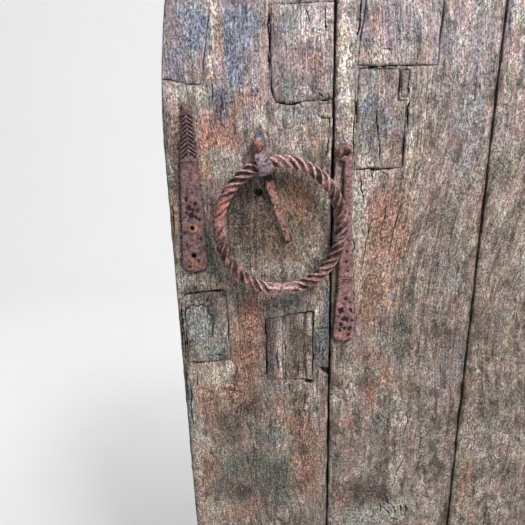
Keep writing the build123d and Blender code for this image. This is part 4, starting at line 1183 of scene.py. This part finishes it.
back_plate_thickness = 3.0
back_plate_outline = np.array([
    (9, 45), (5, 40), (-9, 22), (-24, 3), (-18, -11), (0, -15), (10, -6), (10, 7), (10, 34),
], float)
loop = worn_loop(leftwards(back_plate_outline), fine=1.0, coarse=1.0, wear=0.35, seed=150)
back_plate_rust = rusted_iron("back_plate_rust", [
    (0.3, "3f3d40"), (0.45, "5f5c60"), (0.56, "75757b"), (0.68, "83919a"),
], orange=0.3, violet=0.5)
back_plate = weathered_slab(
    "ring_back_plate_forged", back_plate_rust, loop, back_plate_thickness - 0.1,
    forged_relief(bevel=0.9, seed=151), fine=1.1, coarse=1.1,
    marks=iron_marks([], [(-15, 6, 13, 1.3), (-4, 22, 8, 0.9)]),
    place=at_eye(back_plate_thickness),
)
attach(back_plate, "leaf")
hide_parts("ring_back_plate")

strap_thickness, strap_width, tab_length = 3.5, 16.0, 19.0
tongue_width, tongue_length, tip_width = 11.0, 97.0, 6.0
loop_reach = bar_reach + 0.9 + strap_thickness / 2


def bent_path(corners, radii, step):
    """Points along a bent strip, from its corners (along, out) and the radius of each bend."""
    points = [np.array(corners[0], float)]
    for i in range(1, len(corners) - 1):
        before, here, after = (np.array(c, float) for c in corners[i - 1:i + 2])
        to_before = (before - here) / np.linalg.norm(before - here)
        to_after = (after - here) / np.linalg.norm(after - here)
        half_angle = math.acos(np.clip(to_before @ to_after, -1, 1)) / 2
        back = radii[i - 1] / math.tan(half_angle)
        start, end = here + to_before * back, here + to_after * back
        for t in np.linspace(0, 1, 9):
            points.append((1 - t) ** 2 * start + 2 * t * (1 - t) * here * 0.72 + 2 * t * (1 - t) * 0.28 *
                          (start + end) / 2 + t ** 2 * end)
    points.append(np.array(corners[-1], float))
    points = np.array(points)
    reached = np.concatenate([[0], np.cumsum(np.linalg.norm(np.diff(points, axis=0), axis=1))])
    places = np.linspace(0, reached[-1], int(reached[-1] / step) + 1)
    return np.column_stack([np.interp(places, reached, points[:, i]) for i in (0, 1)]), places


tab_rest = back_plate_thickness + strap_thickness / 2
strap_foot = back_plate_thickness + 0.3 + strap_thickness / 2
tongue_rest, tongue_point = strap_thickness / 2 + 0.4, -9.0
band = ring_plane + loop_reach
path, places = bent_path(
    [(loop_reach + tab_length, tab_rest), (loop_reach, tab_rest), (loop_reach, band), (-loop_reach, band),
     (-loop_reach, strap_foot), (-tongue_length, tongue_rest), (-tongue_length, tongue_point)],
    [3.0, loop_reach * 0.97, loop_reach * 0.97, 3.0, 3.0], 0.7,
)
along_way = unit(np.gradient(path, axis=0))
out_way = np.column_stack([along_way[:, 1], -along_way[:, 0]])
strip_verts, strip_faces, strip_worn, strip_pits_and_painted_shade, strip_fresh = [], [], [], [], []
rib = 28
for row, (spot, way, at) in enumerate(zip(path, out_way, places)):
    along = spot[0]
    below = -along - loop_reach
    if below < -0.6:
        narrowing = np.clip((along - loop_reach + 3) / (tab_length + 3), 0, 1)
        half, middle = strap_width / 2 * (1 - 0.5 * narrowing), 0.0
    else:
        share = max(0.0, below / (tongue_length - loop_reach))
        behind_bar = np.clip((spot[1] - 6) / 12, 0, 1)
        half = tongue_width / 2 + (tip_width - tongue_width) / 2 * share ** 1.4
        half += (strap_width / 2 - half) * behind_bar
        middle = 3.5 * share
    half *= 1 + 0.05 * float(lumps(at, 0.0, 7, 7, 161))
    thick = strap_thickness / 2 * (1 + 0.08 * float(lumps(at, 0.0, 9, 9, 162)))
    for i in range(rib):
        turn = 2 * math.pi * (i + 0.5) / rib
        sideways, outwards = math.cos(turn), math.sin(turn)
        reach = (abs(sideways) ** 5 + abs(outwards) ** 5) ** -0.2
        across, out = half * sideways * reach, thick * outwards * reach
        out += 0.22 * float(weathering(at, across, 6, 5, 163)) * (1 if outwards > 0 else 0.3)
        # Painted shade: the strip is darkened where it turns back to the wood behind the ring's bar.
        painted_shade_behind_bar = np.clip(1 - abs(along + loop_reach + 5.0) / 6.5, 0, 1) * np.clip(1.4 - spot[1] / 14, 0, 1)
        pocked = max(0.0, -1.5 * float(weathering(at, across, 2.1, 1.8, 164)) - 0.2)
        out -= 0.4 * min(pocked, 1.0)
        strip_pits_and_painted_shade.append(min(1.0, painted_shade_behind_bar * 1.6 + pocked))
        position = spot + way * out
        strip_verts.append((middle + across, -position[1], position[0]))
        strip_worn.append(max(0.0, outwards) * (0.3 if along < -loop_reach else 0.35))
        strip_fresh.append(0.55 * np.clip((-along - loop_reach - 6) / 8, 0, 1))
    if row:
        for i in range(rib):
            j = (i + 1) % rib
            strip_faces.append(((row - 1) * rib + i, row * rib + i, row * rib + j, (row - 1) * rib + j))
strip_faces.append(tuple(range(rib)))
strip_faces.append(tuple(reversed(range((len(path) - 1) * rib, len(path) * rib))))
violet_rust = rusted_iron("violet_rust", [
    (0.3, "54454b"), (0.45, "806c74"), (0.56, "9c8892"), (0.68, "b9a6ac"),
], orange=0.6, violet=0.45)
ring_strap = make_piece(
    "ring_strap_forged", violet_rust, at_eye()(*np.transpose(strip_verts)), strip_faces,
    {"worn": strip_worn, "pitted": strip_pits_and_painted_shade, "fresh": strip_fresh}, crisp_angle=60,
)
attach(ring_strap, "leaf")
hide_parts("ring_strap")

nail_along = loop_reach + tab_length / 2
strap_nail_place = (eye_x - nail_along * math.sin(eye_lean), eye_z + nail_along * math.cos(eye_lean))
strap_nail = nail_heads(
    "strap_nail_head", orange_rust, [strap_nail_place], radius=6.4, tall=4.6, shank=5.0, length=30.0,
    face=-back_plate_thickness - strap_thickness + 0.2, seed=31, knock=0.24,
)
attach(strap_nail, "leaf")
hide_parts("ring_strap_nail")

# The pull ring. A square bar of wrought iron was twisted like a rope, bent into a ring and welded
# at a short plain stretch that hangs lowest. Hands have worn it smooth on its left side.
ring_steps, ring_rib, ring_quarters, ring_radius = 912, 28, 38, 76
ring_turns = np.arange(ring_steps) / ring_steps
weld_place, plain_half = 0.75, 26.0 / 360 / 2


def ring_twist(turn):
    """Twist of the bar, which stands still along the plain stretch at the weld."""
    done = np.minimum(turn, weld_place - plain_half).clip(0) + (turn - weld_place - plain_half).clip(0)
    return np.radians(ring_quarters * 90 * done / (1 - 2 * plain_half))


def hump(turn, middle, half):
    """1 at the middle of a stretch of the ring, falling to 0 at its ends."""
    away = np.abs((turn - middle + 0.5) % 1.0 - 0.5)
    return np.clip(1 - (away / half) ** 2, 0, 1)


rubbed = np.maximum.reduce([
    0.8 * hump(ring_turns, 0.49, 0.075), 0.55 * hump(ring_turns, 0.262, 0.035),
    0.95 * hump(ring_turns, 0.755, 0.055), 0.3 * hump(ring_turns, 0.02, 0.05),
])
angles = 2 * math.pi * ring_turns
middle_x, middle_z = ring_half_width * np.cos(angles), ring_half_height * np.sin(angles)
way_x, way_z = -ring_half_width * np.sin(angles), ring_half_height * np.cos(angles)
length = np.hypot(way_x, way_z)
out_x, out_z = way_z / length, -way_x / length
spins = ring_twist(ring_turns)
bend = 6.0 * (1 - 0.7 * rubbed) + 2.2
ring_points = np.zeros((ring_steps, ring_rib, 3))
ring_wear_and_highlight = np.zeros((ring_steps, ring_rib))
ring_fresh = np.zeros((ring_steps, ring_rib))
ring_pits_and_painted_shade = np.zeros((ring_steps, ring_rib))
run = ring_turns * 2 * math.pi * ring_radius
ring_dark = 0.64 + 0.28 * weathering(run, run * 0, 14, 9, 173) - 0.12 * hump(ring_turns, 0.21, 0.16)
# Painted light: the ring is painted darker on its left and right sides, and its ridges paler at its top and
# bottom, as light falls from above.
ring_painted_side_shade = 0.8 * hump(ring_turns, 0.535, 0.1) + 0.5 * hump(ring_turns, 0.0, 0.13)
ring_painted_light = np.interp(ring_turns, [0, 0.1, 0.2, 0.3, 0.4, 0.5, 0.6, 0.68, 0.75, 0.85, 0.95, 1],
                      [0.35, 0.8, 1.6, 1.6, 0.8, 0.2, 0.45, 0.95, 1.1, 1.0, 0.55, 0.35])
for i in range(ring_rib):
    turn = 2 * math.pi * i / ring_rib
    less, more = sorted((abs(math.cos(turn)) + 1e-6, abs(math.sin(turn)) + 1e-6))
    reach = ring_bar / 2 * (less ** bend + more ** bend) ** (-1 / bend)
    hollow = 1.2 * (1 - rubbed) * np.exp(-(less / 0.3) ** 2)
    spin = spins + turn
    rough = 0.28 * weathering(run, i * 1.35 + run * 0, 5, 3.2, 171)
    rough = rough + 0.14 * weathering(run, i * 1.3 + run * 0, 2, 1.6, 172)
    reach = reach - hollow + rough * (1 - 0.4 * rubbed) - 0.1
    away = reach * np.cos(spin)
    ring_points[:, i, 0] = handle_x + middle_x + out_x * away
    ring_points[:, i, 1] = -ring_plane + reach * np.sin(spin)
    ring_points[:, i, 2] = handle_height + middle_z + out_z * away
    corner = np.clip((less / more - 0.45) / 0.5, 0, 1)
    smooth = 0.5 * hump(ring_turns, weld_place, 0.08) + 0.3 * hump(ring_turns, 0.21, 0.16)
    # The pale mark is wear on the ridges together with painted highlight at the top and bottom; the dark mark
    # is rust in the grooves together with painted shade on the sides.
    ring_wear_and_highlight[:, i] = np.clip(corner * ring_painted_light + smooth - 0.4 * rough, 0, 1.1)
    in_groove = (1 - corner) * ring_dark * (1 - 0.9 * rubbed)
    ring_pits_and_painted_shade[:, i] = np.clip(in_groove - 1.6 * rough + 0.4 * ring_painted_side_shade, 0, 0.85)
    ring_fresh[:, i] = 0.9 * hump(ring_turns, 0.445, 0.032) + 0.3 * hump(ring_turns, 0.5, 0.05)
ring_faces = []
for step in range(ring_steps):
    following = (step + 1) % ring_steps
    shift = ring_rib // 4 * ring_quarters if following == 0 else 0
    for i in range(ring_rib):
        j = (i + 1) % ring_rib
        ring_faces.append((
            step * ring_rib + i, step * ring_rib + j,
            following * ring_rib + (j + shift) % ring_rib, following * ring_rib + (i + shift) % ring_rib,
        ))
ring_rust = rusted_iron("ring_rust", [
    (0.3, "5b403e"), (0.45, "86605e"), (0.56, "a37b7a"), (0.68, "c29a99"),
], orange=0.5, violet=0.15)
pull_ring = make_piece(
    "pull_ring_forged", ring_rust, on_door(*ring_points.reshape(-1, 3).T), ring_faces,
    {"worn": ring_wear_and_highlight, "fresh": ring_fresh, "pitted": ring_pits_and_painted_shade}, crisp_angle=180,
)
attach(pull_ring, "ring")
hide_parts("pull_ring")

# The ledges. Four thick oak boards cross the back and hold the upright boards together. Their
# edges are bevelled, their grain runs across the door, and the hinge straps lie on two of them.
ledge_oak = weathered_wood("ledge_oak", [
    (0.3, "5f5148"), (0.42, "786a60"), (0.52, "8a7c73"), (0.62, "94877f"), (0.74, "a2958b"),
])


def behind(depth_at_face):
    """Place on the door for a piece whose outer face looks backwards."""
    return lambda x, depth, height: on_door(x, depth_at_face - np.asarray(depth), height)


def ledge_marks(x, height):
    """Stains and grain place of a board that lies across the door."""
    marks = {}
    for number, stain in enumerate(("pale", "salmon", "moss", "blue", "dark", "lichen")):
        marks[stain] = np.clip(weathering(x, height, 150, 40, 900 + number) * 0.8 - 0.45, 0, 1)
    marks["across"] = (height + 4 * weathering(x, height, 200, 60, 911)) * mm
    marks["along"] = x * mm
    marks["bleached"] = np.full(len(x), 0.92)
    marks["threaded"] = np.full(len(x), 0.8)
    return marks


def ledge_relief(seed):
    """Depth of a ledge's face: raised grain that runs across, and bevelled edges."""
    def depth(x, height, away):
        grain = 0.5 * weathering(height, x, 4, 70, seed) + 0.6 * weathering(height, x, 22, 160, seed + 1)
        return np.maximum(0.8 + grain * 0.6 + np.clip(8 - away, 0, 8), 0)
    return depth


for number, node in enumerate(("bottom_ledge", "middle_ledge", "upper_ledge", "top_ledge")):
    low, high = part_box(node)
    low, high = (low - closing_low) / mm, (high - closing_low) / mm
    corners = np.array([(low.x, low.z), (high.x, low.z), (high.x, high.z), (low.x, high.z)])
    loop = worn_loop(corners, fine=4.0, coarse=4.0, wear=0.5, seed=180 + number)
    starts = [(low.x + 30 + 640 * chance(i, number, 3), low.z + 25 + 90 * chance(i, number, 4))
              for i in range(4)]
    ledge = weathered_slab(
        "ledge_" + node.replace("_ledge", ""), ledge_oak, loop, high.y - low.y,
        ledge_relief(190 + number), fine=4.0, coarse=4.0, marks=ledge_marks,
        cracks=[([(x, z), (x + 80, z + 1)], 1.4, 3) for x, z in starts],
        place=behind(high.y), from_back=True,
    )
    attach(ledge, "leaf")
    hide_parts(node)

# The hinges and the nails of the back. Long strap hinges, rolled into an eye at the hanging edge,
# and rows of clenched nails are forged from black iron and have rusted brown in patches.
black_iron = rusted_iron("black_iron", [
    (0.3, "2c2827"), (0.45, "3d3634"), (0.56, "4d423e"), (0.7, "655048"),
], orange=0.3, violet=0.1, specular=0.4)
for node in ("lower_hinge", "upper_hinge", "bottom_ledge_nails", "middle_ledge_nails", "upper_ledge_nails",
             "top_ledge_nails", "lower_hinge_nails", "upper_hinge_nails"):
    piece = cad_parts[node]
    piece.data.materials.clear()
    piece.data.materials.append(black_iron)

# The camera. It stands half a metre off the handle, a little above it, and looks down at the door,
# rolled slightly to one side.
camera_tilt, camera_roll, camera_distance = math.radians(14.8), math.radians(1.65), 500.0
aim_x, aim_height = 113.8, 1055.0
camera_data = bpy.data.cameras.new("camera")
camera_data.sensor_width = 36.0
camera_data.lens = 27.017
camera = bpy.data.objects.new("camera", camera_data)
bpy.context.scene.collection.objects.link(camera)
camera_spot = on_door([aim_x], [-camera_distance * math.cos(camera_tilt)],
                      [aim_height + camera_distance * math.sin(camera_tilt)])[0]
camera.matrix_world = (Matrix.Translation(camera_spot) @ Matrix.Rotation(math.pi / 2 - camera_tilt, 4, "X")
                       @ Matrix.Rotation(-camera_roll, 4, "Z"))
bpy.context.scene.camera = camera

# The studio. A pale plaster floor curves up into a backdrop behind the door, under an even sky.
# One large soft lamp shines from the upper right and gives the shadows.
studio_width, floor_front, wall_place, wall_height, bend_reach = 14.0, -6.0, 4.5, 7.0, 1.5
profile = [(floor_front, 0.0)]
for i in range(13):
    turn = math.pi / 2 * i / 12
    profile.append((wall_place - bend_reach + bend_reach * math.sin(turn), bend_reach * (1 - math.cos(turn))))
profile.append((wall_place, wall_height))
studio_mesh = bpy.data.meshes.new("studio")
studio_points = [(side * studio_width / 2, y, closing_low.z + z) for y, z in profile for side in (-1, 1)]
studio_mesh.from_pydata(studio_points, [], [(2 * i, 2 * i + 1, 2 * i + 3, 2 * i + 2)
                                            for i in range(len(profile) - 1)])
studio_mesh.shade_smooth()
studio = bpy.data.objects.new("studio", studio_mesh)
bpy.context.scene.collection.objects.link(studio)


def background_rays(tree):
    """1 on rays that show the background: from the camera, off metal or through glass."""
    rays = tree.nodes.new("ShaderNodeLightPath")
    shown = rays.outputs["Is Camera Ray"]
    for kind in ("Is Glossy Ray", "Is Transmission Ray"):
        either = tree.nodes.new("ShaderNodeMath")
        either.operation = "MAXIMUM"
        tree.links.new(shown, either.inputs[0])
        tree.links.new(rays.outputs[kind], either.inputs[1])
        shown = either.outputs[0]
    return shown


plaster = Finish("plaster", roughness=0.95, specular=0.1)
plaster_grain = plaster.noise(plaster.place(), 6.0, 3.0)
plaster.finish(plaster.tones(plaster_grain, (0.3, "e6e6e4"), (0.7, "ecebe9")),
               plaster.rise(plaster_grain, 0.3, 0.7, 0.9, 0.98), plaster_grain, 0.0005)
apart = plaster.step("VectorMath", {0: plaster.place(), 1: (0.0, 1.0, 1.0)}, 1, operation="DOT_PRODUCT")
plaster.surface.inputs["Emission Color"].default_value = linear("f6f7f8")
rays = Level(plaster, background_rays(plaster.tree))
lit = rays * plaster.rise(apart, -0.7, 0.8, 0.04, 0.42)
plaster.tree.links.new(lit.socket, plaster.surface.inputs["Emission Strength"])
studio_mesh.materials.append(plaster.material)

world = bpy.data.worlds.new("even_sky")
world.use_nodes = True
sky = world.node_tree.nodes["Background"]
sky.inputs["Color"].default_value = linear("f4f6fa")
sky_level = world.node_tree.nodes.new("ShaderNodeMapRange")
sky_level.inputs["To Min"].default_value, sky_level.inputs["To Max"].default_value = 0.4, 0.82
world.node_tree.links.new(background_rays(world.node_tree), sky_level.inputs["Value"])
world.node_tree.links.new(sky_level.outputs[0], sky.inputs["Strength"])
bpy.context.scene.world = world
lamp_data = bpy.data.lights.new("soft_lamp", "AREA")
lamp_data.shape = "RECTANGLE"
lamp_data.size, lamp_data.size_y = 1.1, 0.9
lamp_data.energy = 120.0
lamp_data.color = (1.0, 0.985, 0.96)
lamp = bpy.data.objects.new("soft_lamp", lamp_data)
bpy.context.scene.collection.objects.link(lamp)
lamp_aim = Vector(on_door([handle_x], [0], [handle_height])[0])
lamp.location = lamp_aim + Vector((1.3, -1.25, 2.3))
lamp.rotation_mode = "QUATERNION"
lamp.rotation_quaternion = (lamp_aim - lamp.location).to_track_quat("-Z", "Y")

bpy.context.scene.view_settings.view_transform = "Standard"
